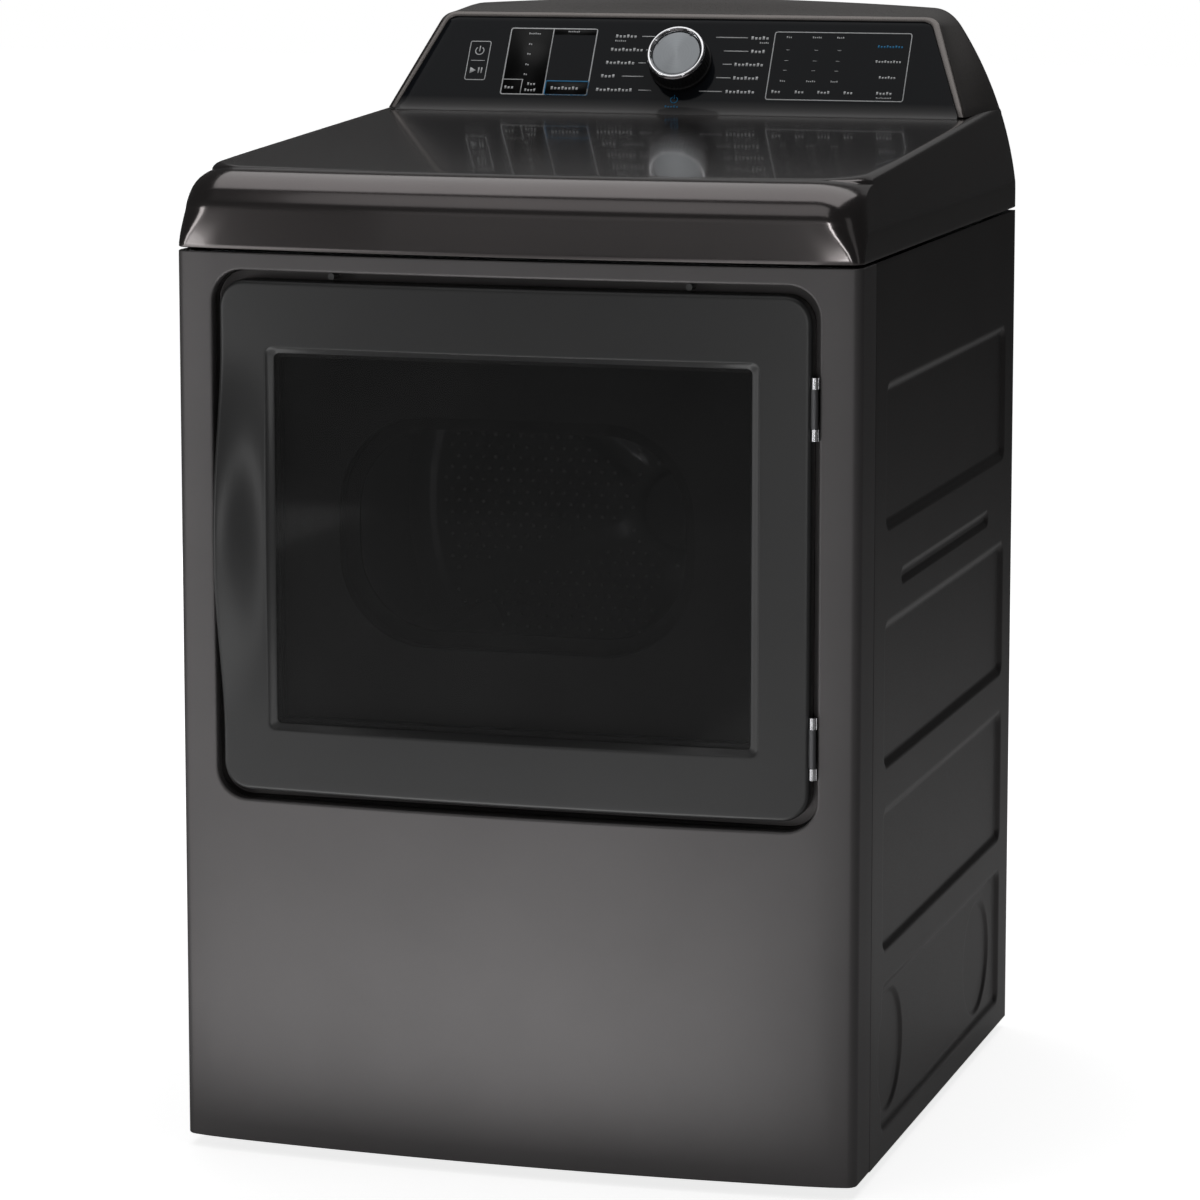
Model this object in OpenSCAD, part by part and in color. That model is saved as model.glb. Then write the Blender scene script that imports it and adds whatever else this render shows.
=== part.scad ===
// Front-loading tumble dryer, built from separate sheet, moulded and turned pieces.
// X runs to the right, Y from front to back, Z up. The floor is Z = 0.

/* [Cabinet] */
// Width over the side panels
body_w = 686; // [680:1:690]
// Height of the cabinet sheet from its lower edge to the lid seam
body_h = 885; // [883:1:888]
// Gap between the floor and the cabinet sheet
foot_gap = 12; // [11:1:14]
// Distance from the drum's centre plane to the back of the rear panel
back_y = 346.7; // [346:0.1:348]
// Distance from the drum's centre plane forward to the crown of the bowed front
crown_y = 370; // [368:1:372]
// Radius of the bow of the front, seen from above
bow_r = 3308; // [3200:1:3400]
// Thickness of the cabinet sheet
sheet = 1.2; // [1.0:0.1:1.4]
/* [Door] */
// Height of the door's centre above the floor
door_z = 619.6; // [618:0.1:621]
// Width of the door
door_w = 593; // [590:1:594]
// Height of the door
door_h = 502.2; // [500:0.1:503]
// Gap between the door and its recess
door_gap = 7.5; // [7:0.1:9]
// Corner radius of the door
door_r = 27; // [20:1:30]
// Width of the door glass
glass_w = 479; // [470:1:482]
// Height of the door glass
glass_h = 364.5; // [355:0.5:366]
// Height of the middle of the glass above the floor
glass_z = 618.3; // [617:0.1:620]
// How far the pull lip stands out of the left stile
lip_out = 28; // [24:1:28]
/* [Drum] */
// Outside radius of the drum
drum_r = 316; // [310:1:316]
// Height of the drum's axis above the floor
drum_z = 570; // [569:1:571]
// Front end of the drum
drum_y0 = -288; // [-288:1:-286]
// Rear end of the drum's shell
drum_y1 = 262; // [258:1:262]
/* [Drive] */
// Sideways place of the motor
motor_x = 60; // [56:1:62]
// Height of the motor's axis above the floor
motor_z = 150; // [148:1:152]
// Radius of the motor pulley
pulley_r = 9; // [8.5:0.1:9.5]
// Radius of the idler pulley
idler_r = 22; // [20:1:23]
/* [Console] */
// Height of the console's top edge above the floor
top_z = 1119; // [1117:1:1120]
// Front line of the console glass, as a distance back from the centre plane
glass_y = 208; // [207:1:209]
// Angle of the console glass from the lid upwards
glass_tilt = 57.8; // [57:0.1:58.5]
// Radius of the knob's skirt
knob_r = 34; // [30:1:36]
/* [Exhaust] */
// Radius of the exhaust collar, for a four inch hose
exhaust_r = 50.8; // [50.8:0.1:50.8]
// Rear end of the exhaust collar
exhaust_end = 383; // [380:1:385]

/* [Hidden] */
$fn = 96;

hw = body_w / 2;                       // half width of the cabinet
z0 = foot_gap;                         // lower edge of the cabinet sheet
z1 = z0 + body_h;                      // upper edge of the cabinet sheet
lid_z = z1 + 3;                        // lower edge of the lid
corner_r = 11;                         // vertical front corners
wrap_y = -291;                         // rear edge of the front panel's side returns
recess_y = -335;                       // floor of the door recess
door_back = -341;                      // back plane of the door frame
glass_back = -353;                     // back face of the flat door glass
recess_w = door_w + 2 * door_gap;
recess_h = door_h + 2 * door_gap + 4.3;
front_t = 1.5;                         // front panel sheet
open_w = 390;                          // throat into the drum
open_z0 = 499;
open_z1 = 757;
throat_t = 2;
bulk_y = -298;                         // front bulkhead plate
seal_r = 252;
rear_y = 272;                          // rear bulkhead plate
side_r = 387;                          // radius of the lid's and console's side contour
side_cx = 41.3;
side_cz = 880.2;
crest_r = 4261;                        // radius of the arched top of the console
lid_front_z = 939;                     // where the lid's front band starts to round
lid_top_z = 976;                       // front of the lid's top
lid_slope = 0.0482;
glass_foot_z = 1001.5;                 // foot line of the console glass
knob_x = 1;
knob_up = 61;                          // knob centre, measured up the glass
hinge_x = door_w / 2 + door_gap / 2;
hinge_y = -357.5;
hinge_zs = [440.5, 764.5];
knuckle_r = 3.2;
foot_x = 280;
foot_y = 285;
exhaust_x = -110;
exhaust_z = 100;
cord_x = -250;
cord_z = 120;
belt_y = 60;
belt_w = 8;
belt_gap = 0.4;
belt_t = 2.2;
heater_x = 262;
heater_z = 118;
heater_r = 60;
switch_x = 250;
switch_z = 846;
catch_x = -270;

// Belt geometry: unit vectors from the drum to the motor pulley and along the right-hand run
axis_d = sqrt(pow(motor_x, 2) + pow(motor_z - drum_z, 2));
run_a = acos((drum_r - pulley_r) / axis_d);
down_a = atan2(motor_z - drum_z, motor_x);
run_n = [cos(down_a + run_a), sin(down_a + run_a)];
run_t = [-run_n[1], run_n[0]];
idler_off = pulley_r + belt_gap + belt_t + idler_r + 0.4;
idler_s = 80;
idler_x = motor_x + run_n[0] * idler_off + run_t[0] * idler_s;
idler_z = motor_z + run_n[1] * idler_off + run_t[1] * idler_s;
pivot_x = 96;
pivot_z = 112;

// Stamped fields of the side panels: centre y, centre z, length, height
fields = [[30.5, 706, 551, 144], [30.5, 473, 551, 146], [30.5, 289.5, 551, 144],
    [30.5, 111.5, 551, 151]];
slot_field = [25, 581, 402, 16];
knockouts = [[-200, 112], [208, 109]];
rear_screw_at = [for (x = [-325, -110, 110, 325]) for (z = [40, 880]) [x, z],
    for (x = [-325, 325]) for (z = [250, 460, 670]) [x, z]];

// ---- shared outlines -------------------------------------------------------------------

module rrect(w, h, r) {
    square([w - 2 * r, h], center = true);
    square([w, h - 2 * r], center = true);
    for (sx = [-1, 1], sy = [-1, 1])
        translate([sx * (w / 2 - r), sy * (h / 2 - r)]) circle(r);
}

// A rounded rectangle in the XZ plane, extruded from y0 to y1
module slab_y(w, h, r, y0, y1, x = 0, z = 0) {
    translate([x, y1, z]) rotate([90, 0, 0]) linear_extrude(y1 - y0) rrect(w, h, r);
}

// A cylinder along Y from y0 to y1
module rod_y(r, y0, y1, x = 0, z = 0) {
    translate([x, y1, z]) rotate([90, 0, 0]) cylinder(r = r, h = y1 - y0);
}

module ring_y(ro, ri, y0, y1, x = 0, z = 0) {
    difference() {
        rod_y(ro, y0, y1, x, z);
        rod_y(ri, y0 - 1, y1 + 1, x, z);
    }
}

// A box from its lowest to its highest corner
module block(a, b) {
    translate(a) cube(b - a);
}

// Points on an arc about c from angle a0 to a1 in n steps, leaving out the first s points
function arc(c, r, a0, a1, n, s = 0) =
    [for (k = [s:n]) c + r * [cos(a0 + (a1 - a0) * k / n), sin(a0 + (a1 - a0) * k / n)]];

// Points on a curve from a to c that leaves and arrives along the lines to b
function corner_curve(a, b, c, n) =
    [for (k = [1:n - 1]) let (u = k / n) a * pow(1 - u, 2) + b * 2 * u * (1 - u) + c * u * u];

function mirrored(pts) = [for (k = [len(pts) - 1:-1:0]) [-pts[k][0], pts[k][1]]];

// Plan of the cabinet: flat back and sides, bowed front, rounded front corners, inset by t
module plan(t = 0) {
    cx = hw - corner_r;
    span = asin(cx / (bow_r - corner_r));
    corner_c = [cx, bow_r - crown_y - (bow_r - corner_r) * cos(span)];
    corner = concat(arc(corner_c, corner_r - t, span - 90, 0, 6, 1), [[hw - t, back_y - t]]);
    polygon(concat(arc([0, bow_r - crown_y], bow_r - t, -90 - span, span - 90, 24), corner,
        mirrored(corner)));
}

// Side contour shared by the lid and the console, seen from the front, inset by t
module shoulders(t = 0) {
    r = side_r - t;
    a0 = acos((hw - t + side_cx) / r);
    a1 = 34;
    p1 = [r * cos(a1) - side_cx, side_cz + r * sin(a1)];
    p3 = [253 - t, top_z - t - 253 * 253 / 2 / crest_r];
    p2 = [270 - t, top_z - t - 8.5];
    half = concat([[hw - t, lid_z - 10]], arc([-side_cx, side_cz], r, a0, a1, 14),
        corner_curve(p1, p2, p3, 5),
        [for (x = [253 - t:-50.6:25]) [x, top_z - t - x * x / 2 / crest_r]]);
    polygon(concat(half, mirrored(half)));
}

module shoulder_slab(t = 0) {
    translate([0, 400, 0]) rotate([90, 0, 0]) linear_extrude(800) shoulders(t);
}

// Height of the lid's sloping top at depth y
function lid_at(y) = lid_top_z + lid_slope * (y + 325);

// A profile in the YZ plane, extruded along X between x0 and x1
module profile_x(points, x0, x1) {
    translate([x0, 0, 0]) rotate([90, 0, 90]) linear_extrude(x1 - x0) polygon(points);
}

function lid_profile(t) = concat([[back_y - t, lid_z - 5], [-400, lid_z - 5], [-400, lid_front_z]],
    [[t - crown_y, lid_front_z]],
    [for (a = [15:15:90]) [-325 - (45 - t) * cos(a), lid_front_z + (lid_top_z - lid_front_z - t) * sin(a)]],
    [[back_y - t, lid_at(back_y) - t]]);

function console_profile(t) = [[glass_y + t * 1.2, glass_foot_z - 12], [glass_y + t * 1.2, glass_foot_z],
    [270 + t, 1100], [276 + t, 1108], [286, 1116 - t], [297, top_z - t], [back_y - t, top_z - 11 - t],
    [back_y - t, 990]];

// Places its children on the console glass: x across, y up the slope, z outwards
module on_glass() {
    translate([0, glass_y, glass_foot_z]) rotate([glass_tilt, 0, 0]) children();
}

// ---- cabinet -----------------------------------------------------------------------------

module base_pan() {
    color([0.55, 0.56, 0.57]) difference() {
        union() {
            block([-hw + front_t, -340, z0], [hw - front_t, back_y - sheet, z0 + 1.5]);
            for (s = [-1, 1])
                translate([s * (hw - front_t - 0.75), 0, z0 + 10])
                    cube([1.5, 560, 20], center = true);
            block([-hw + 20, -340, z0], [hw - 20, -338.5, z0 + 32]);
            block([-hw + 20, back_y - sheet - 1.5, z0], [hw - 20, back_y - sheet, z0 + 22]);
            for (sx = [-1, 1], sy = [-1, 1])
                translate([sx * foot_x, sy * foot_y, z0]) cylinder(r = 11, h = 20);
        }
        for (sx = [-1, 1], sy = [-1, 1])
            translate([sx * foot_x, sy * foot_y, z0 - 1]) cylinder(r = 5.05, h = 30);
    }
}

// One pressed field: its floor and rim, on the panel's inner side
module field_rim(f, depth) {
    translate([hw - depth - sheet, f[0], f[1]]) rotate([90, 0, 90])
        linear_extrude(depth) rrect(f[2] + 2 * sheet, f[3] + 2 * sheet, 12);
}

module field_cut(f, depth) {
    translate([hw - depth, f[0], f[1]]) rotate([90, 0, 90])
        linear_extrude(depth + 1) rrect(f[2], f[3], min(11, f[3] / 2 - 0.5));
}

module side_sheet() {
    difference() {
        union() {
            block([hw - sheet, wrap_y + 0.4, z0], [hw, back_y - sheet, z1]);
            block([hw - 14, wrap_y + 0.4, z0 + 34], [hw - sheet, wrap_y + 0.4 + sheet, z1]);
            block([hw - 16, wrap_y + 0.4, z1 - sheet], [hw - sheet, back_y - sheet, z1]);
            for (f = fields) field_rim(f, 4);
            field_rim(slot_field, 3);
            for (k = knockouts)
                translate([hw - 7 - sheet, k[0], k[1]]) rotate([0, 90, 0])
                    cylinder(r = 63.2, h = 4);
        }
        for (f = fields) field_cut(f, 4);
        field_cut(slot_field, 3);
        for (k = knockouts)
            translate([hw - 7, k[0], k[1]]) rotate([0, 90, 0]) cylinder(r = 62, h = 9);
    }
}

module side_panel_right() {
    color([0.13, 0.13, 0.135]) side_sheet();
}

module side_panel_left() {
    color([0.13, 0.13, 0.135]) mirror([1, 0, 0]) side_sheet();
}

module rear_panel() {
    bulge = 8;
    y0 = back_y - sheet;
    color([0.62, 0.63, 0.64]) difference() {
        union() {
            block([-hw, y0, z0], [hw, back_y, z1]);
            rod_y(271, y0, back_y + bulge, 0, drum_z);
        }
        rod_y(271 - sheet, y0 - 1, back_y + bulge - sheet, 0, drum_z);
        rod_y(exhaust_r + 0.4, y0 - 1, back_y + 1, exhaust_x, exhaust_z);
        rod_y(14.3, y0 - 1, back_y + 1, cord_x, cord_z);
        for (p = rear_screw_at) rod_y(2.3, y0 - 1, back_y + 1, p[0], p[1]);
        for (sx = [-1, 1], k = [0:6])
            slab_y(90, 6, 2.9, back_y, back_y + bulge + 1, sx * 90, drum_z - 90 + k * 30);
    }
}

module front_panel() {
    mid_z = door_z;
    color([0.35, 0.345, 0.35]) difference() {
        union() {
            // outer skin with its side returns, and top and bottom flanges
            intersection() {
                difference() {
                    translate([0, 0, z0]) linear_extrude(body_h) plan();
                    translate([0, 0, z0 + front_t])
                        linear_extrude(body_h - 2 * front_t) plan(front_t);
                    slab_y(recess_w, recess_h, door_r + 4, -400, 0, 0, mid_z);
                }
                difference() {
                    block([-hw, -400, z0], [hw, wrap_y, z1]);
                    block([-hw + 40, -341, z0 - 1], [hw - 40, wrap_y + 1, z1 + 1]);
                    block([-hw + front_t, -340.2, z0 - 1], [hw - front_t, wrap_y + 1, z0 + 5]);
                }
            }
            // recess walls and floor
            intersection() {
                translate([0, 0, z0]) linear_extrude(body_h) plan();
                difference() {
                    slab_y(recess_w + 2 * front_t, recess_h + 2 * front_t, door_r + 5.5, -400,
                        recess_y + front_t, 0, mid_z);
                    slab_y(recess_w, recess_h, door_r + 4, -401, recess_y, 0, mid_z);
                }
            }
        }
        slab_y(open_w, open_z1 - open_z0, 105, -340, -330, 0, (open_z0 + open_z1) / 2);
        slab_y(open_w, 140, 40, -340, -330, 0, open_z0 + 70);
        rod_y(3.3, -340, -330, switch_x, switch_z);
        slab_y(22, 42, 3, -340, -330, catch_x, door_z);
    }
}

module top_panel() {
    t = 1.5;
    color([0.12, 0.12, 0.125]) union() {
        difference() {
            intersection() {
                translate([0, 0, lid_z]) linear_extrude(200) plan();
                shoulder_slab();
                profile_x(lid_profile(0), -400, 400);
            }
            intersection() {
                translate([0, 0, lid_z - 4]) linear_extrude(300) plan(t);
                shoulder_slab(t);
                profile_x(lid_profile(t), -400, 400);
            }
            // opening under the console for its electrics
            block([-240, 240, 900], [240, 330, 1100]);
        }
        // rear corner tabs
        for (s = [-1, 1])
            translate([s * (hw - 12), back_y + 5.5, lid_z + 7]) cube([22, 13, 14], center = true);
    }
}

module console_housing() {
    t = 2.5;
    color([0.42, 0.40, 0.39]) difference() {
        intersection() {
            shoulder_slab();
            profile_x(console_profile(0), -400, 400);
        }
        intersection() {
            shoulder_slab(t);
            profile_x(console_profile(t), -400, 400);
        }
        // everything under the lid's sloping top
        profile_x([[180, 900], [180, lid_at(180) ], [400, lid_at(400)], [400, 900]], -400, 400);
        // seat of the glass, and its window
        on_glass() translate([0, 0, -6]) linear_extrude(8) console_outline(0.15);
        // open back for the cover
        block([-230, back_y - 6, 1000], [230, back_y + 1, 1090]);
    }
}

// The console glass, seen square on: wider at its foot
module console_outline(grow = 0) {
    polygon([[-308.5 - grow, 3 - grow], [308.5 + grow, 3 - grow], [266 + grow, 115 + grow],
        [-266 - grow, 115 + grow]]);
}

module console_glass() {
    color([0.12, 0.12, 0.14]) difference() {
        on_glass() translate([0, 0, -3]) linear_extrude(3) console_outline();
        on_glass() translate([knob_x, knob_up, -5]) cylinder(r = 5.2, h = 10);
    }
}

module console_rear_cover() {
    color([0.2, 0.2, 0.2]) slab_y(459, 79, 6, back_y - 2.5, back_y, 0, 1049.5);
}

module control_board() {
    color([0.05, 0.35, 0.15]) on_glass() difference() {
        translate([-245, 14, -18]) cube([490, 88, 1.6]);
        translate([knob_x, knob_up, -20]) cylinder(r = 6, h = 6);
    }
}

module knob_encoder() {
    color([0.7, 0.7, 0.72]) on_glass() difference() {
        union() {
            translate([knob_x - 9, knob_up - 9, -16.4]) cube([18, 18, 8]);
            translate([knob_x, knob_up, -9]) cylinder(r = 5, h = 9.4);
        }
        translate([knob_x, knob_up, -14]) cylinder(r = 3.05, h = 20);
    }
}

// ---- inside the cabinet ------------------------------------------------------------------

module throat_outline(grow = 0) {
    mid = (open_z0 + open_z1) / 2;
    translate([0, mid]) rrect(open_w + 2 * grow, open_z1 - open_z0 + 2 * grow, 105 + grow);
    translate([0, open_z0 + 70]) rrect(open_w + 2 * grow, 140 + 2 * grow, 40 + grow);
}

module throat_slab(grow, y0, y1) {
    translate([0, y1, 0]) rotate([90, 0, 0]) linear_extrude(y1 - y0) throat_outline(grow);
}

module front_bulkhead() {
    color([0.75, 0.76, 0.77]) difference() {
        union() {
            block([-hw + 16, bulk_y, 268], [hw - 16, bulk_y + sheet, z1 - 4]);
            throat_slab(throat_t, recess_y + front_t, bulk_y + sheet);
        }
        throat_slab(0, -340, -290);
        block([-94, -318, 490], [94, -300, 502]);
        block([-18, -320, 755], [18, -306, 762]);
    }
}

module drum_front_seal() {
    color([0.85, 0.84, 0.8]) ring_y(seal_r + 10, seal_r, bulk_y + sheet, drum_y0 - 0.4, 0, drum_z);
}

module rear_bulkhead() {
    color([0.72, 0.73, 0.74]) difference() {
        block([-hw + 4 + sheet, rear_y, 190], [hw - 4 - sheet, rear_y + sheet, z1 - 4]);
        rod_y(14, 260, 290, 0, drum_z);
        for (a = [0:30:330])
            rod_y(34, 260, 290, 170 * cos(a), drum_z + 170 * sin(a));
        for (s = [-1, 1])
            block([s * hw - 20, rear_y - 1, z1 - 8], [s * hw + 20, rear_y + 4, z1]);
    }
}

module rear_bearing() {
    color([0.5, 0.5, 0.52]) difference() {
        union() {
            rod_y(42, rear_y + sheet, rear_y + 4.2, 0, drum_z);
            rod_y(24, rear_y + sheet, rear_y + 22, 0, drum_z);
        }
        rod_y(12.06, 260, 310, 0, drum_z);
    }
}

module rear_air_duct() {
    y0 = rear_y + sheet;
    t = 1.5;
    x0 = 190;
    x1 = 334;
    color([0.66, 0.67, 0.68]) difference() {
        union() {
            rod_y(262, y0, 333, 0, drum_z);
            block([x0, y0, 44], [x1, 333, drum_z]);
        }
        difference() {
            union() {
                rod_y(262 - t, y0 - 1, 333 - t, 0, drum_z);
                block([x0 + t, y0 - 1, 44 + t], [x1 - t, 333 - t, drum_z - t]);
            }
            block([x0 - 1, y0 - 2, 40], [x1 + 1, y0 + t, 190]);
        }
        rod_y(heater_r - 1, y0 - 1, y0 + t + 1, heater_x, heater_z);
    }
}

module lint_duct() {
    t = 2;
    color([0.82, 0.83, 0.84]) difference() {
        union() {
            block([-100, -322, 200], [100, -299, open_z0 - throat_t]);
            block([-60, -322, 60], [180, -204, 248]);
        }
        block([-100 + t, -322 + t, 210], [100 - t, -299 - t, open_z0]);
        block([-60 + t, -322 + t, 60 + t], [180 - t, -204 - t, 248 - t]);
        block([-58, -320, 205], [98, -301, 260]);
        rod_y(55, -210, -200, motor_x, motor_z);
    }
}

module blower_housing() {
    t = 2;
    y0 = -204;
    y1 = -118;
    color([0.8, 0.81, 0.82]) difference() {
        union() {
            rod_y(96, y0, y1, motor_x, motor_z);
            block([exhaust_x - 58, y0, 42], [0, y1, 158]);
        }
        rod_y(96 - t, y0 + t, y1 - t, motor_x, motor_z);
        block([exhaust_x - 58 + t, y0 + t, 42 + t], [30, y1 - t, 158 - t]);
        rod_y(55, y0 - 1, y0 + t + 1, motor_x, motor_z);
        rod_y(9, y1 - t - 1, y1 + 1, motor_x, motor_z);
        rod_y(exhaust_r - 3, y1 - t - 1, y1 + 1, exhaust_x, exhaust_z);
    }
}

module exhaust_duct() {
    color([0.78, 0.79, 0.8]) difference() {
        union() {
            rod_y(exhaust_r - 0.8, -118, exhaust_end, exhaust_x, exhaust_z);
            rod_y(exhaust_r, back_y + 0.3, exhaust_end, exhaust_x, exhaust_z);
        }
        rod_y(exhaust_r - 2.4, -119, exhaust_end + 1, exhaust_x, exhaust_z);
    }
}

module heater_housing() {
    t = 2.4;
    y0 = -90;
    y1 = rear_y + sheet;
    inlet_r = 34;
    color([0.68, 0.68, 0.69]) difference() {
        union() {
            rod_y(heater_r, y0, y1, heater_x, heater_z);
            // rear flange, and the foot of the front cap
            rod_y(heater_r + 9, y1 - 2, y1, heater_x, heater_z);
            block([heater_x - 30, y0 - 2, z0 + 1.5], [heater_x + 30, y0, heater_z - 50]);
        }
        rod_y(heater_r - t, y0 + t, y1 + 1, heater_x, heater_z);
        for (a = [0:60:300])
            rod_y(12, y0 - 1, y0 + t + 1, heater_x + inlet_r * cos(a), heater_z + inlet_r * sin(a));
    }
}

module motor_body() {
    color([0.35, 0.36, 0.38]) difference() {
        union() {
            rod_y(62, -78, 30, motor_x, motor_z);
            rod_y(24, -88, 40, motor_x, motor_z);
        }
        rod_y(6.05, -100, 50, motor_x, motor_z);
    }
}

module motor_bracket() {
    color([0.45, 0.46, 0.47]) difference() {
        union() {
            block([motor_x - 70, -84, z0 + 1.5], [motor_x + 70, 50, z0 + 4.5]);
            for (y = [-70, 12]) block([motor_x - 52, y, z0 + 1.5], [motor_x + 52, y + 8, 112]);
            block([pivot_x - 16, 42, z0 + 1.5], [pivot_x + 16, 45, pivot_z + 14]);
            rod_y(5, 42, 51, pivot_x, pivot_z);
        }
        rod_y(62, -100, 41, motor_x, motor_z);
    }
}

// Outline of the belt at a distance g outside the drum and the pulley
module belt_outline(g) {
    right_a = down_a + run_a;
    left_a = down_a - run_a;
    polygon(concat(arc([0, drum_z], drum_r + g, right_a, left_a + 360, 120),
        arc([motor_x, motor_z], pulley_r + g, left_a, right_a, 12)));
}

module drive_belt() {
    color([0.08, 0.08, 0.08])
        translate([0, belt_y + belt_w / 2, 0]) rotate([90, 0, 0]) linear_extrude(belt_w)
            difference() {
                belt_outline(belt_gap + belt_t);
                belt_outline(belt_gap);
            }
}

module door_switch_body() {
    color([0.85, 0.85, 0.85]) difference() {
        block([switch_x - 9, recess_y + front_t, switch_z - 14],
            [switch_x + 9, -305, switch_z + 14]);
        rod_y(3.06, -340, -312, switch_x, switch_z);
    }
}

module door_catch() {
    color([0.3, 0.3, 0.3]) difference() {
        slab_y(34, 54, 3, recess_y + front_t, -308, catch_x, door_z);
        slab_y(22, 42, 3, -340, -312, catch_x, door_z);
    }
}

module hinge_leaves_cabinet() {
    color([0.8, 0.8, 0.82]) for (z = hinge_zs) difference() {
        union() {
            for (s = [-1, 1]) translate([0, 0, z + s * 24.5]) {
                translate([hinge_x, hinge_y, 0]) cylinder(r = knuckle_r, h = 11, center = true);
                block([recess_w / 2 - 2, hinge_y, -5.5], [recess_w / 2, recess_y, 5.5]);
            }
            translate([recess_w / 2 - 1, -337, z]) cube([2, 4, 60], center = true);
        }
        translate([hinge_x, hinge_y, z]) cylinder(r = 1.5, h = 80, center = true);
    }
}

module hinge_pins() {
    color([0.85, 0.85, 0.87]) for (z = hinge_zs)
        translate([hinge_x, hinge_y, z]) cylinder(r = 1.5, h = 60, center = true);
}

module terminal_block() {
    color([0.15, 0.15, 0.16]) difference() {
        block([cord_x - 34, 322, 186], [cord_x + 34, back_y - sheet, 226]);
        for (k = [-1, 0, 1])
            block([cord_x + k * 21 - 7, 321, 194], [cord_x + k * 21 + 7, 330, 218]);
    }
}

module terminal_cover() {
    color([0.55, 0.56, 0.57]) difference() {
        slab_y(96, 84, 4, back_y, back_y + 6, cord_x, 204);
        slab_y(93, 81, 3, back_y - 1, back_y + 4.8, cord_x, 204);
    }
}

module drum_lamp() {
    color([0.95, 0.93, 0.85])
        block([-24, -322, open_z1 + throat_t], [24, -304, open_z1 + throat_t + 16]);
}

module screw_y(x, y, z, len, r = 2.1) {
    rod_y(4, y, y + 2.2, x, z);
    rod_y(r, y - len, y, x, z);
}

module cabinet_screws() {
    color([0.75, 0.75, 0.76]) for (p = rear_screw_at) screw_y(p[0], back_y, p[1], 8);
}

module door_bumpers() {
    color([0.8, 0.8, 0.8]) for (x = [-182, 176])
        rod_y(3.2, -352, recess_y, x, door_z + door_h / 2 + 4.8);
}

// ---- door --------------------------------------------------------------------------------

// The bowed slab of the door between two depths behind its front face
module bow_slab(t0, y1) {
    span = 7;
    linear_extrude(1100) polygon(concat(
        arc([0, bow_r - crown_y], bow_r - t0, -90 - span, span - 90, 32),
        [[400, y1], [-400, y1]]));
}

// The pull lip: an arc seen from the side, fading out towards the glass; t is a depth
// behind its face and over extends it past the door's edge
module lip(t, over = 0) {
    chord = 375;
    arc_r = (chord * chord / 4 + lip_out * lip_out) / (2 * lip_out);
    edge_y = -355;
    x0 = -door_w / 2 - over;
    intersection() {
        translate([x0, edge_y - lip_out + arc_r + t, 614.5]) rotate([0, 90, 0])
            cylinder(r = arc_r, h = 46, $fn = 180);
        translate([0, 0, 420]) linear_extrude(390)
            polygon([[x0, edge_y - lip_out + t], [-door_w / 2 + 10, edge_y - lip_out + 1 + t],
                [-252, -364.5 + t], [-252, -349], [x0, -349]]);
    }
}

module door_frame() {
    wall = 4;
    color([0.2, 0.2, 0.205]) difference() {
        union() {
            intersection() {
                slab_y(door_w, door_h, door_r, -420, -300, 0, door_z);
                difference() {
                    bow_slab(0, door_back);
                    difference() {
                        slab_y(door_w - 2 * wall, door_h - 2 * wall, door_r - wall, -420, -300, 0, door_z);
                        difference() {
                            bow_slab(0, door_back);
                            bow_slab(wall, door_back + 10);
                        }
                        slab_y(glass_w + 22, glass_h + 22, 12, -420, -300, 0, glass_z);
                    }
                }
            }
            lip(0);
        }
        // window, stepped for the glass
        slab_y(glass_w + 16, glass_h + 14, 8, -420, glass_back, 0, glass_z);
        slab_y(glass_w - 6, glass_h - 6, 6, -420, -300, 0, glass_z);
        // finger pocket behind the lip
        intersection() {
            lip(6.5, 1);
            block([-door_w / 2 - 2, -400, 440], [-262, -349.5, 790]);
        }
    }
}

module door_glass() {
    color([0.1, 0.1, 0.1, 0.6])
        slab_y(glass_w + 15.8, glass_h + 13.8, 7.9, glass_back - 4, glass_back, 0, glass_z);
}

module door_inner_panel() {
    mid = (open_z0 + open_z1) / 2;
    color([0.7, 0.7, 0.71]) difference() {
        union() {
            slab_y(door_w - 20, door_h - 20, 18, door_back, door_back + 2.5, 0, door_z);
            slab_y(open_w - 24, open_z1 - open_z0 - 24, 94, door_back, -318.5, 0, mid);
        }
        slab_y(open_w - 32, open_z1 - open_z0 - 32, 90, door_back - 1, -321.5, 0, mid);
        slab_y(open_w - 60, open_z1 - open_z0 - 60, 80, door_back - 1, -318, 0, mid);
    }
}

module door_inner_glass() {
    mid = (open_z0 + open_z1) / 2;
    color([0.6, 0.65, 0.65, 0.35])
        slab_y(open_w - 33, open_z1 - open_z0 - 33, 89.5, -326.5, -321.5, 0, mid);
}

module door_gasket() {
    mid = (open_z0 + open_z1) / 2;
    y0 = door_back + 2.5;
    color([0.1, 0.1, 0.1]) difference() {
        slab_y(open_w + 40, open_z1 - open_z0 + 40, 120, y0, recess_y - 0.5, 0, mid);
        slab_y(open_w + 20, open_z1 - open_z0 + 20, 112, y0 - 1, recess_y, 0, mid);
    }
}

module door_strike() {
    color([0.8, 0.8, 0.82]) {
        block([catch_x - 6, door_back + 2.5, door_z - 14], [catch_x + 6, door_back + 4, door_z + 14]);
        difference() {
            slab_y(4, 22, 1.9, door_back + 2.5, -316, catch_x, door_z);
            translate([catch_x, -322, door_z]) rotate([0, 90, 0])
                cylinder(r = 3, h = 10, center = true);
        }
    }
}

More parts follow.
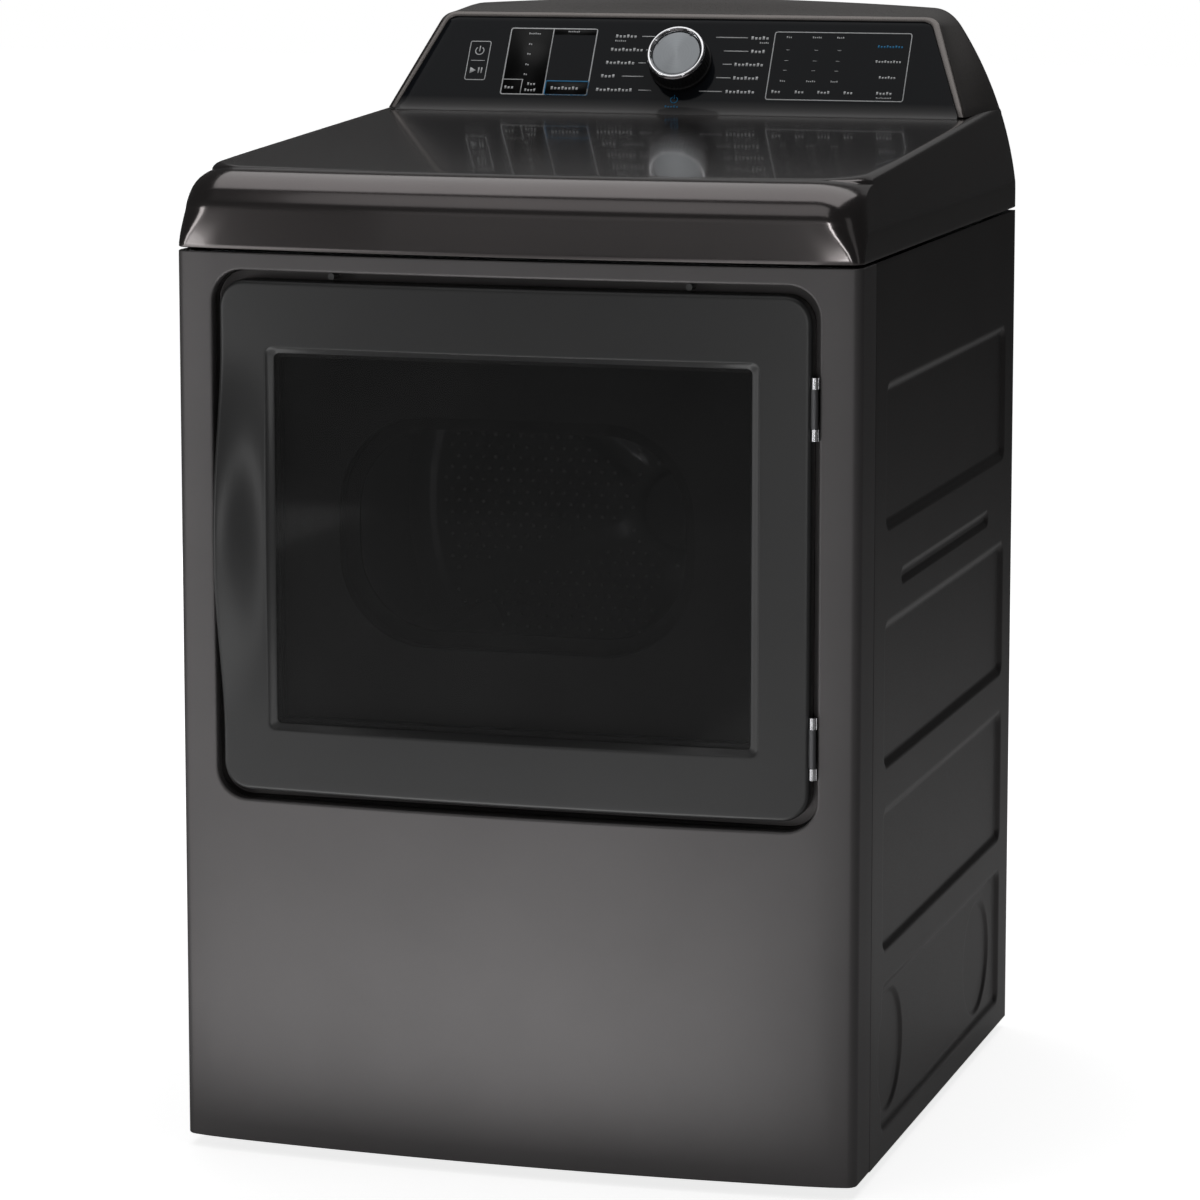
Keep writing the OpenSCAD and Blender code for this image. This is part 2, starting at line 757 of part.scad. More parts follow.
module hinge_leaves_door() {
    color([0.5, 0.5, 0.52]) for (z = hinge_zs) difference() {
        union() {
            translate([hinge_x, hinge_y, z]) cylinder(r = knuckle_r, h = 37.4, center = true);
            block([door_w / 2, hinge_y, z - 18.7], [door_w / 2 + 2, door_back + 1.5, z + 18.7]);
            block([door_w / 2 - 9.5, door_back, z - 18.7], [door_w / 2 + 2, door_back + 1.5, z + 18.7]);
        }
        translate([hinge_x, hinge_y, z]) cylinder(r = 1.56, h = 80, center = true);
    }
}

module door_screws() {
    color([0.75, 0.75, 0.76])
        for (x = [-276, 276], z = [door_z - 235, door_z, door_z + 235])
            if (abs(z - door_z) > 1 || x > 0)
                rod_y(3.6, door_back + 2.5, door_back + 4.3, x, z);
}

// ---- drum --------------------------------------------------------------------------------

module drum_shell() {
    color([0.78, 0.79, 0.8]) difference() {
        union() {
            rod_y(drum_r, drum_y0, drum_y1, 0, drum_z);
            for (y = [belt_y - 16, belt_y + 10]) rod_y(drum_r + 1.2, y, y + 5, 0, drum_z);
            rod_y(241.2, drum_y0 - 5, drum_y0 + 1, 0, drum_z);
        }
        rod_y(drum_r - sheet, drum_y0 + sheet, drum_y1 + 1, 0, drum_z);
        rod_y(240, drum_y0 - 6, drum_y0 + 5, 0, drum_z);
    }
}

module drum_rear_wall() {
    color([0.7, 0.71, 0.72]) difference() {
        rod_y(drum_r, drum_y1, drum_y1 + 1.5, 0, drum_z);
        for (a = [0:60:300], k = [0:3], j = [-1, 0, 1])
            rod_y(4, drum_y1 - 1, drum_y1 + 3, (110 + 44 * k) * cos(a + j * 13),
                drum_z + (110 + 44 * k) * sin(a + j * 13));
    }
}

module drum_baffles() {
    color([0.5, 0.5, 0.52]) for (a = [90, 210, 330])
        translate([0, 240, drum_z]) rotate([90, 0, 0]) difference() {
            linear_extrude(500) intersection() {
                circle(drum_r - sheet, $fn = 180);
                rotate(a) baffle_outline(236, 0);
            }
            translate([0, 0, 3]) linear_extrude(494) rotate(a) baffle_outline(239, 3);
        }
}

module baffle_outline(top, t) {
    polygon([[top, t - 10], [242 + t / 2, t - 16], [330, t - 42], [330, 42 - t], [242 + t / 2, 16 - t],
        [top, 10 - t]]);
}

module drum_shaft() {
    color([0.6, 0.6, 0.62]) {
        rod_y(12, drum_y1 + 1.5, rear_y + 25, 0, drum_z);
        rod_y(70, drum_y1 + 1.5, drum_y1 + 4, 0, drum_z);
    }
}

// ---- drive -------------------------------------------------------------------------------

module motor_shaft() {
    color([0.7, 0.7, 0.72]) rod_y(6, -190, 72, motor_x, motor_z);
}

module motor_pulley() {
    color([0.4, 0.4, 0.42]) difference() {
        union() {
            rod_y(pulley_r, belt_y - 8, belt_y + 8, motor_x, motor_z);
            for (y = [belt_y - 8, belt_y + 6]) rod_y(13, y, y + 2, motor_x, motor_z);
        }
        rod_y(6, 40, 80, motor_x, motor_z);
    }
}

module blower_wheel() {
    color([0.2, 0.2, 0.2]) difference() {
        union() {
            rod_y(78, -134, -131, motor_x, motor_z);
            rod_y(14, -190, -131, motor_x, motor_z);
            ring_y(78, 62, -194, -192, motor_x, motor_z);
            for (a = [0:20:340])
                translate([motor_x, 0, motor_z]) rotate([0, a, 0])
                    block([60, -193, -1], [77, -133, 1]);
        }
        rod_y(6, -200, -120, motor_x, motor_z);
    }
}

module idler_arm() {
    y0 = 45.4;
    len = sqrt(pow(idler_x - pivot_x, 2) + pow(idler_z - pivot_z, 2));
    lean = atan2(idler_z - pivot_z, idler_x - pivot_x);
    color([0.6, 0.61, 0.62]) difference() {
        union() {
            rod_y(12, y0, y0 + 3, pivot_x, pivot_z);
            rod_y(10, y0, y0 + 3, idler_x, idler_z);
            translate([pivot_x, y0 + 3, pivot_z]) rotate([90, 0, 0]) linear_extrude(3)
                rotate(lean) translate([0, -8]) square([len, 16]);
            rod_y(4, y0, 72, idler_x, idler_z);
        }
        rod_y(5.06, y0 - 1, y0 + 4, pivot_x, pivot_z);
    }
}

module idler_pulley() {
    color([0.85, 0.85, 0.82]) difference() {
        rod_y(idler_r, belt_y - 9, belt_y + 9, idler_x, idler_z);
        rod_y(4.06, 40, 80, idler_x, idler_z);
    }
}

// ---- knob --------------------------------------------------------------------------------

module knob_body() {
    color([0.08, 0.08, 0.085]) on_glass() translate([knob_x, knob_up, 0]) {
        difference() {
            union() {
                translate([0, 0, 0.7]) cylinder(r = knob_r, h = 4);
                translate([0, 0, 4]) cylinder(r1 = knob_r - 1.2, r2 = knob_r - 3, h = 18);
            }
            translate([0, 0, 0]) cylinder(r = 7, h = 8);
        }
        translate([0, 0, -8]) cylinder(r = 3, h = 20);
    }
}

module knob_ring() {
    color([0.9, 0.9, 0.92]) on_glass() translate([knob_x, knob_up, 22]) difference() {
        cylinder(r1 = 32, r2 = 31, h = 4);
        translate([0, 0, -1]) cylinder(r = 26, h = 6);
    }
}

module knob_cap() {
    color([0.45, 0.46, 0.48]) on_glass() translate([knob_x, knob_up, 22]) cylinder(r = 26, h = 3);
}

// ---- small moving pieces -----------------------------------------------------------------

module lint_filter() {
    color([0.9, 0.9, 0.9]) difference() {
        union() {
            block([-88, -314, 290], [88, -303, open_z0 - 1]);
            block([-88, -314, open_z0 - 1], [88, -303, open_z0 + 6]);
        }
        block([-78, -320, 300], [78, -300, 480]);
        block([-40, -320, open_z0 - 4], [40, -309, open_z0 + 2]);
    }
}

module lint_screen() {
    color([0.7, 0.7, 0.7]) block([-78, -309.5, 300], [78, -308.5, 480]);
}

module door_switch_plunger() {
    color([0.95, 0.95, 0.95]) rod_y(3, door_back + 2.5 + 0.3, -316, switch_x, switch_z);
}

module foot(sx, sy) {
    translate([sx * foot_x, sy * foot_y, 0]) {
        cylinder(r1 = 21, r2 = 18, h = 6);
        translate([0, 0, 6]) cylinder(r = 11, h = 5.7, $fn = 6);
        cylinder(r = 5, h = 40);
    }
}

module foot_front_left() {
    color([0.1, 0.1, 0.1]) foot(-1, -1);
}

module foot_front_right() {
    color([0.1, 0.1, 0.1]) foot(1, -1);
}

module foot_rear_left() {
    color([0.1, 0.1, 0.1]) foot(-1, 1);
}

module foot_rear_right() {
    color([0.1, 0.1, 0.1]) foot(1, 1);
}

base_pan();
side_panel_left();
side_panel_right();
rear_panel();
front_panel();
top_panel();
console_housing();
console_glass();
console_rear_cover();
control_board();
knob_encoder();
front_bulkhead();
drum_front_seal();
rear_bulkhead();
rear_bearing();
rear_air_duct();
lint_duct();
blower_housing();
exhaust_duct();
heater_housing();
motor_body();
motor_bracket();
drive_belt();
door_switch_body();
door_catch();
hinge_leaves_cabinet();
hinge_pins();
terminal_block();
terminal_cover();
drum_lamp();
cabinet_screws();
door_bumpers();
door_frame();
door_glass();
door_inner_panel();
door_inner_glass();
door_gasket();
door_strike();
hinge_leaves_door();
door_screws();
drum_shell();
drum_rear_wall();
drum_baffles();
drum_shaft();
motor_shaft();
motor_pulley();
blower_wheel();
idler_arm();
idler_pulley();
knob_body();
knob_ring();
knob_cap();
lint_filter();
lint_screen();
door_switch_plunger();
foot_front_left();
foot_front_right();
foot_rear_left();
foot_rear_right();
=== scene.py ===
"""Looks of the clothes dryer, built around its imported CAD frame. x runs right, y back and z up.
Lengths are in millimetres until a mesh is made; camera, lights and floor are in metres."""

import math

import bmesh
import bpy
from mathutils import Matrix, Vector


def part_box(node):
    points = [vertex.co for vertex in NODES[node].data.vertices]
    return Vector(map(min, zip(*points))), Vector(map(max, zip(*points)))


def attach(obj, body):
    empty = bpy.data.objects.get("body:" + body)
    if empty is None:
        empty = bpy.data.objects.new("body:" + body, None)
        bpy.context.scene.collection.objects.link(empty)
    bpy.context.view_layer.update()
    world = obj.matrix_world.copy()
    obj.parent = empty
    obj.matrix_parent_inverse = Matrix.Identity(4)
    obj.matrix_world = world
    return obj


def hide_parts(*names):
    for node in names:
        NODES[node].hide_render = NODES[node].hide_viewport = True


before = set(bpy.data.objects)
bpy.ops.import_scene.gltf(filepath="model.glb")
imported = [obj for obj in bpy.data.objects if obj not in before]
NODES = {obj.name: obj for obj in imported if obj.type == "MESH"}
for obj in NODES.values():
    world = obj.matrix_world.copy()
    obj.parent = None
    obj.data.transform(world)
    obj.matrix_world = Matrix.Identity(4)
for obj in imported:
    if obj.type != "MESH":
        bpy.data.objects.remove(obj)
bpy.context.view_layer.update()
MM = 0.001


# ---- sizes, read from the frame -----------------------------------------------------------

def extent(node):
    """Lowest and highest corner of a CAD node, in millimetres."""
    low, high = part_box(node)
    return [c / MM for c in low], [c / MM for c in high]


BODY_LOW, BODY_HIGH = extent("front_panel")
BACK_Y = extent("side_panel_right")[1][1] + 1.2
HALF_W = BODY_HIGH[0]
BODY_Z0, BODY_Z1 = BODY_LOW[2], BODY_HIGH[2]
CROWN_Y = -BODY_LOW[1]
WRAP_Y = BODY_HIGH[1]
DOOR_LOW, DOOR_HIGH = extent("door_frame")
DOOR_HALF = DOOR_HIGH[0]
DOOR_Z0, DOOR_Z1 = DOOR_LOW[2], DOOR_HIGH[2]
DOOR_BACK = DOOR_HIGH[1]
GLASS_LOW, GLASS_HIGH = extent("door_glass")
LID_Z = extent("top_panel")[0][2]
TOP_Z = extent("console_housing")[1][2]

# ---- sizes the frame does not hold --------------------------------------------------------

BOW_R = 3308.0  # the bowed front, seen from above
CORNER_R = 11.0  # the front panel's upright corners
TURN_X, TURN_BACK = 296.0, 2.2  # beyond this x the front turns back by this much more
RECESS_Y = -335.0  # floor of the door recess
RECESS_R, RECESS_HALF_H = 31.0, 260.75
DOOR_GAP = 7.5
THROAT_HALF = 195.0
THROAT_Z0, THROAT_Z1 = 499.0, 757.0
SHEET = 0.9  # steel of the front panel
LIP_Z, LIP_HALF, LIP_OUT = 614.5, 192.0, 26.3  # pull lip: middle, half height, reach
SIDE_R, SIDE_CX, SIDE_CZ = 387.0, 41.3, 880.2  # arc of the lid's and the console's ends
CREST_R = 4261.0  # the console's arched top, seen from the front
GLASS_FOOT = (0.0, 208.0, 1001.5)  # middle of the console glass's lower edge
GLASS_TILT = math.radians(57.8)
KNOB_X, KNOB_UP = 1.0, 61.0


# ---- small helpers ------------------------------------------------------------------------

def smooth_step(u):
    u = min(max(u, 0.0), 1.0)
    return u * u * (3 - 2 * u)


def mix(a, b, u):
    return a + (b - a) * u


def front_y(x):
    """Depth of the bowed front face at x; its last stretch turns back a little more."""
    turn = max(0.0, abs(x) - TURN_X) / (HALF_W - CORNER_R - TURN_X)
    return BOW_R - CROWN_Y - math.sqrt(BOW_R ** 2 - x * x) + TURN_BACK * turn * turn


def lid_at(y):
    """Height of the lid's sloping top at depth y."""
    return 976.0 + 0.0482 * (y + 325.0)


def side_x(z, inset=0.0):
    """Half-width of the lid and the console at height z."""
    lift = z - SIDE_CZ
    return min(HALF_W - inset, math.sqrt((SIDE_R - inset) ** 2 - lift * lift) - SIDE_CX)


def new_object(name, data):
    obj = bpy.data.objects.new(name, data)
    bpy.context.scene.collection.objects.link(obj)
    return obj


def face_outwards(mesh, outside):
    """Merges doubled points and turns every face outwards; outside is a direction from which
    the piece's furthest point shows its outer side."""
    work = bmesh.new()
    work.from_mesh(mesh)
    bmesh.ops.remove_doubles(work, verts=work.verts, dist=0.00002)
    bmesh.ops.dissolve_degenerate(work, edges=work.edges, dist=0.000005)
    bmesh.ops.recalc_face_normals(work, faces=work.faces)
    far = Vector(outside)
    tip = max(work.verts, key=lambda v: v.co.dot(far))
    if sum(f.normal.dot(far) * f.calc_area() for f in tip.link_faces) < 0:
        bmesh.ops.reverse_faces(work, faces=work.faces)
    work.to_mesh(mesh)
    work.free()


def build(name, verts, faces, body, slot, material, replaces=(), weighted=True,
          outside=(0.05, -1.0, 0.02), place=None):
    """A smooth-shaded mesh piece from points in millimetres, moved by place if one is given."""
    mesh = bpy.data.meshes.new(name)
    mesh.from_pydata([[c * MM for c in v] for v in verts], [], faces)
    mesh.validate()
    face_outwards(mesh, outside)
    obj = new_object(name, mesh)
    mesh.polygons.foreach_set("use_smooth", [True] * len(mesh.polygons))
    mesh.materials.append(material)
    if weighted:
        obj.modifiers.new("weighted", "WEIGHTED_NORMAL").keep_sharp = True
    if place:
        obj.matrix_world = place
        bpy.context.view_layer.update()
    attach(obj, body)
    if replaces:
        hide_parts(*replaces)
    return obj


def thicken(obj, depth):
    """Gives a sheet its thickness, behind its face and ahead of any other modifier."""
    solid = obj.modifiers.new("sheet", "SOLIDIFY")
    solid.thickness = depth * MM
    solid.offset = -1.0
    while obj.modifiers.find("sheet") > 0:
        with bpy.context.temp_override(object=obj, active_object=obj):
            obj.modifiers.move(obj.modifiers.find("sheet"), 0)


def loft(loops, closed=True):
    """Quads between neighbouring loops of equal length."""
    count = len(loops[0])
    verts = [p for loop in loops for p in loop]
    faces = []
    last = count if closed else count - 1
    for k in range(len(loops) - 1):
        for i in range(last):
            j = (i + 1) % count
            faces.append((k * count + i, k * count + j, (k + 1) * count + j, (k + 1) * count + i))
    return verts, faces


def join(parts):
    """One list of points and faces from several."""
    verts, faces = [], []
    for part_verts, part_faces in parts:
        base = len(verts)
        verts += part_verts
        faces += [tuple(i + base for i in f) for f in part_faces]
    return verts, faces


def flipped(part):
    return part[0], [tuple(reversed(f)) for f in part[1]]


def spread(a, b, count):
    """count + 1 values from a to b."""
    return [mix(a, b, k / count) for k in range(count + 1)]


def round_rect(x0, x1, z0, z1, radii, nx=24, nz=20, nc=8):
    """Points round a rectangle with rounded corners, anticlockwise from the bottom left.
    radii are for the bottom left, bottom right, top right and top left corners."""
    bl, br, tr, tl = radii
    points = []

    def corner(cx, cz, r, start):
        for k in range(nc + 1):
            a = math.radians(start + 90.0 * k / nc)
            points.append((cx + r * math.cos(a), cz + r * math.sin(a)))

    def side(ax, az, bx, bz, count):
        for k in range(1, count):
            points.append((mix(ax, bx, k / count), mix(az, bz, k / count)))

    corner(x0 + bl, z0 + bl, bl, 180)
    side(x0 + bl, z0, x1 - br, z0, nx)
    corner(x1 - br, z0 + br, br, 270)
    side(x1, z0 + br, x1, z1 - tr, nz)
    corner(x1 - tr, z1 - tr, tr, 0)
    side(x1 - tr, z1, x0 + tl, z1, nx)
    corner(x0 + tl, z1 - tl, tl, 90)
    side(x0, z1 - tl, x0, z0 + bl, nz)
    return points


def between(a, b, u):
    """The path part-way from path a to path b."""
    return [(mix(p[0], q[0], u), mix(p[1], q[1], u)) for p, q in zip(a, b)]


def upright(path, y):
    """A path of (x, z) pairs as a loop standing at depth y."""
    return [(x, y, z) for x, z in path]


# ---- materials ----------------------------------------------------------------------------

def set_sockets(node, sockets):
    """Sets a node's sockets by name, underscores standing for spaces."""
    for key, value in sockets.items():
        node.inputs[key.replace("_", " ")].default_value = value


def add_node(tree, kind, **sockets):
    node = tree.nodes.new("ShaderNode" + kind)
    set_sockets(node, sockets)
    return node


def principled(name, color, roughness, metallic=0.0, **sockets):
    mat = bpy.data.materials.new(name)
    mat.use_nodes = True
    shader = mat.node_tree.nodes["Principled BSDF"]
    set_sockets(shader, {"Base_Color": (*color, 1.0), "Roughness": roughness,
                         "Metallic": metallic, **sockets})
    return mat, mat.node_tree, shader


def texture_point(tree, scale=(1, 1, 1)):
    """A point in the piece's own coordinates."""
    mapping = add_node(tree, "Mapping", Scale=scale)
    tree.links.new(add_node(tree, "TexCoord").outputs["Object"], mapping.inputs["Vector"])
    return mapping.outputs["Vector"]


def distance_from_origin(tree):
    """How far a point lies from the origin of the piece's own coordinates."""
    reach = add_node(tree, "VectorMath")
    reach.operation = "LENGTH"
    tree.links.new(texture_point(tree), reach.inputs[0])
    return reach.outputs["Value"]


def noise(tree, point, scale, detail=3.0):
    node = add_node(tree, "TexNoise", Scale=scale, Detail=detail)
    tree.links.new(point, node.inputs["Vector"])
    return node.outputs["Fac"]


def ramp(tree, value, low, high, start=0.0, end=1.0):
    node = add_node(tree, "MapRange", From_Min=start, From_Max=end, To_Min=low, To_Max=high)
    tree.links.new(value, node.inputs["Value"])
    return node.outputs["Result"]


def tint(tree, value, low, high, start=0.3, end=0.7):
    node = add_node(tree, "ValToRGB")
    for stop, position, color in zip(node.color_ramp.elements, (start, end), (low, high)):
        stop.position = position
        stop.color = (*color, 1)
    tree.links.new(value, node.inputs["Fac"])
    return node.outputs["Color"]


def bump(tree, shader, height, strength, distance):
    node = add_node(tree, "Bump", Strength=strength, Distance=distance)
    tree.links.new(height, node.inputs["Height"])
    tree.links.new(node.outputs["Normal"], shader.inputs["Normal"])


def surface(name, color, roughness, metallic=0.0, spread_by=0.12, grain=900.0,
            grain_depth=0.00002, rough_by=0.05, stretch=(1, 1, 1), **sockets):
    """Colour and roughness that wander a little, with a fine grain in the surface."""
    mat, tree, shader = principled(name, color, roughness, metallic, **sockets)
    point = texture_point(tree, stretch)
    cloud = noise(tree, point, 9.0)
    low = tuple(c * (1 - spread_by) for c in color)
    high = tuple(min(1.0, c * (1 + spread_by)) for c in color)
    tree.links.new(tint(tree, cloud, low, high), shader.inputs["Base Color"])
    speck = noise(tree, point, grain, 2.0)
    rough = ramp(tree, speck, max(0.02, roughness - rough_by), roughness + rough_by, 0.3, 0.7)
    tree.links.new(rough, shader.inputs["Roughness"])
    bump(tree, shader, speck, 0.25, grain_depth)
    return mat


def turned_metal(name, color, roughness):
    """Turned metal: brushed in rings about the middle of the piece, so its glints fan out."""
    mat, tree, shader = principled(name, color, roughness, 1.0, Anisotropic=0.8)
    tangent = add_node(tree, "Tangent")
    tangent.direction_type = "RADIAL"
    tangent.axis = "Z"
    tree.links.new(tangent.outputs["Tangent"], shader.inputs["Tangent"])
    rings = add_node(tree, "TexNoise", Scale=2500.0)
    rings.noise_dimensions = "1D"
    tree.links.new(distance_from_origin(tree), rings.inputs["W"])
    low = tuple(c * 0.86 for c in color)
    tree.links.new(tint(tree, rings.outputs["Fac"], low, color), shader.inputs["Base Color"])
    return mat


def smoked_glass(name, color, foot_color):
    """Black glass that turns a paler grey towards its foot, where it meets the lid."""
    mat, tree, shader = principled(name, color, 0.09, 0.0, Specular_IOR_Level=0.1)
    point = texture_point(tree)
    height = add_node(tree, "SeparateXYZ")
    tree.links.new(point, height.inputs["Vector"])
    rise = ramp(tree, height.outputs["Z"], 1.0, 0.0, 1.0015, 1.016)
    tree.links.new(tint(tree, rise, color, foot_color, 0.0, 1.0), shader.inputs["Base Color"])
    smear = noise(tree, point, 30.0)
    tree.links.new(ramp(tree, smear, 0.07, 0.12), shader.inputs["Roughness"])
    return mat


M = {
    "front": surface("front_paint", (0.107, 0.1015, 0.1025), 0.50, 0.6, 0.04, 1400.0, 0.00001),
    "side": surface("side_paint", (0.085, 0.080, 0.080), 0.40, 0.85, 0.05, 1400.0, 0.00001),
    "lid": surface("lid_paint", (0.128, 0.117, 0.116), 0.18, 0.85, 0.04, 1400.0, 0.000004, 0.02,
                   Coat_Weight=0.3, Coat_Roughness=0.05),
    "trim": surface("console_trim", (0.165, 0.152, 0.146), 0.30, 0.9, 0.05, 1200.0, 0.00001),
    "console_glass": smoked_glass("console_glass", (0.007, 0.008, 0.010), (0.085, 0.083, 0.083)),
    "door": surface("door_frame_paint", (0.026, 0.026, 0.0263), 0.36, 0.0, 0.05, 1500.0, 0.00001,
                    Specular_IOR_Level=0.45),
    "black": surface("black_plastic", (0.012, 0.012, 0.0125), 0.5, 0.0, 0.1, 1500.0),
    "galvanised": surface("galvanised_sheet", (0.52, 0.53, 0.54), 0.40, 0.9, 0.05, 90.0, 0.00001,
                          0.10),
    "plated": surface("plated_steel", (0.68, 0.68, 0.70), 0.24, 1.0, 0.06, 700.0, 0.00001),
    "hinge": surface("hinge_grey", (0.10, 0.10, 0.105), 0.35, 0.6, 0.06, 900.0, 0.00001),
    "pale": surface("pale_plastic", (0.62, 0.62, 0.60), 0.55, 0.0, 0.05, 1200.0),
    "grey": surface("grey_plastic", (0.16, 0.16, 0.165), 0.5, 0.0, 0.06, 1200.0),
    "drum": surface("drum_steel", (0.30, 0.30, 0.31), 0.36, 0.95, 0.08, 300.0, 0.00001, 0.06,
                    (1, 0.08, 1)),
    "cast": surface("cast_metal", (0.20, 0.20, 0.21), 0.6, 0.7, 0.2, 500.0, 0.00006),
    "felt": surface("felt", (0.50, 0.48, 0.43), 0.95, 0.0, 0.2, 900.0, 0.0004),
    "rubber": surface("rubber", (0.014, 0.014, 0.0145), 0.7, 0.0, 0.2, 700.0, 0.00006),
    "motor": surface("motor_paint", (0.05, 0.052, 0.056), 0.5, 0.3, 0.15, 500.0, 0.00003),
    "board": surface("circuit_board", (0.015, 0.11, 0.045), 0.45, 0.0, 0.3, 200.0),
    "chrome": surface("knob_chrome", (0.86, 0.86, 0.88), 0.12, 1.0, 0.02, 300.0, 0.000002, 0.02),
    "lamp": surface("lamp_cover", (0.85, 0.83, 0.76), 0.5, 0.0, 0.04, 400.0, 0.00001),
    "screen": surface("filter_mesh", (0.42, 0.43, 0.44), 0.7, 0.0, 0.4, 2500.0, 0.0001),
    "ink": surface("legend_ink", (0.62, 0.63, 0.64), 0.6, 0.0, 0.03, 900.0, 0.000004),
    "blue_ink": surface("legend_blue", (0.012, 0.20, 0.42), 0.6, 0.0, 0.03, 900.0, 0.000004),
    "display": surface("display_face", (0.003, 0.003, 0.0032), 0.5, 0.0, 0.05, 900.0, 0.000002,
                       0.02, Specular_IOR_Level=0.2),
    "brushed": turned_metal("knob_brushed", (0.29, 0.305, 0.32), 0.34),
    # beads far paler than the drum steel: the paleness is painted highlight, on domes that also
    # catch real glints
    "bead": surface("drum_beads_painted_highlight", (0.90, 0.90, 0.90), 0.35, 0.3, 0.05, 900.0, 0.00001),
    "bumper": surface("bumper_plastic", (0.10, 0.10, 0.10), 0.4, 0.0, 0.05, 800.0, 0.00001),
}


def see_through(name, color, roughness, alpha):
    """Dark sheet of glass: part of the light goes straight through it, the rest meets its face."""
    return surface(name, color, roughness, 0.0, 0.1, 30.0, 0.000001, 0.01,
                   Specular_IOR_Level=0.16, Alpha=alpha)


M["door_glass"] = see_through("door_glass", (0.022, 0.022, 0.022), 0.04, 0.40)
M["clear_glass"] = see_through("inner_glass", (0.006, 0.006, 0.006), 0.04, 0.10)
M["liner"] = surface("door_liner", (0.008, 0.008, 0.0082), 0.55, 0.0, 0.1, 1200.0,
                     Specular_IOR_Level=0.25)

EDGE_BEVEL = 0.5
EDGE_ANGLE = math.radians(40)
# nodes by the look they wear
CAD_LOOKS = {
    "galvanised": "base_pan rear_panel front_bulkhead rear_bulkhead rear_air_duct exhaust_duct "
                  "heater_housing terminal_cover",
    "black": "console_rear_cover door_catch terminal_block blower_wheel knob_body",
    "board": "control_board",
    "plated": "knob_encoder motor_bracket hinge_leaves_cabinet hinge_pins cabinet_screws "
              "door_strike door_screws motor_shaft idler_arm",
    "felt": "drum_front_seal",
    "cast": "rear_bearing drum_shaft motor_pulley",
    "pale": "lint_duct blower_housing door_switch_body idler_pulley lint_filter "
            "door_switch_plunger",
    "motor": "motor_body",
    "rubber": "drive_belt door_gasket foot_front_left foot_front_right foot_rear_left "
              "foot_rear_right",
    "lamp": "drum_lamp",
    "bumper": "door_bumpers",
    "liner": "door_inner_panel",
    "clear_glass": "door_inner_glass",
    "hinge": "hinge_leaves_door",
    "drum": "drum_shell drum_rear_wall",
    "grey": "drum_baffles",
    "screen": "lint_screen",
    "side": "side_panel_left side_panel_right",
    "front": "front_panel",
    "lid": "top_panel",
    "trim": "console_housing",
    "console_glass": "console_glass",
    "door": "door_frame",
    "door_glass": "door_glass",
    "chrome": "knob_ring",
    "brushed": "knob_cap",
}


def dress_cad_nodes():
    """Materials and softened edges for the CAD nodes, whose own vertices stay as they are."""
    for node, look in ((n, look) for look, names in CAD_LOOKS.items() for n in names.split()):
        obj = NODES[node]
        obj.data.materials.clear()
        obj.data.materials.append(M[look])
        flats = obj.modifiers.new("weighted", "WEIGHTED_NORMAL")
        flats.keep_sharp = True
        bevel = obj.modifiers.new("edge", "BEVEL")
        bevel.width = EDGE_BEVEL * MM
        bevel.segments = 2
        bevel.limit_method = "ANGLE"
        bevel.angle_limit = EDGE_ANGLE
        bevel.harden_normals = False


# ---- front panel --------------------------------------------------------------------------

CORNER_STEPS = 10


def corner_start(radius):
    """Where the corner of this radius leaves the front face: x, depth and angle of the face."""
    x = HALF_W - radius
    for _ in range(8):
        angle = math.atan((front_y(x + 0.01) - front_y(x - 0.01)) / 0.02)
        x = HALF_W - radius + radius * math.sin(angle)
    return x, front_y(x), angle


CORNER_X, CORNER_Y, CORNER_A = corner_start(CORNER_R)


def wrap_points(inset=0.0):
    """The corner of the front panel and its return on to the side, from the front backwards."""
    r = CORNER_R - inset
    cx = HALF_W - CORNER_R
    cy = CORNER_Y + CORNER_R * math.cos(CORNER_A)
    points = []
    for k in range(CORNER_STEPS + 1):
        a = mix(CORNER_A, math.pi / 2, k / CORNER_STEPS)
        points.append((cx + r * math.sin(a), cy - r * math.cos(a)))
    for y in (cy + 3.0, mix(cy, WRAP_Y, 0.5), WRAP_Y - 1.2):
        points.append((HALF_W - inset, y))
    return points


def edge_profile(radius, depth, steps=5):
    """A rolled edge: (inset, distance back from the edge) pairs, ending depth behind the face."""
    rolled = []
    for k in range(steps + 1):
        a = math.pi / 2 * k / steps
        rolled.append((radius - radius * math.cos(a), radius - radius * math.sin(a)))
    rolled.append((depth, 0.0))
    return rolled


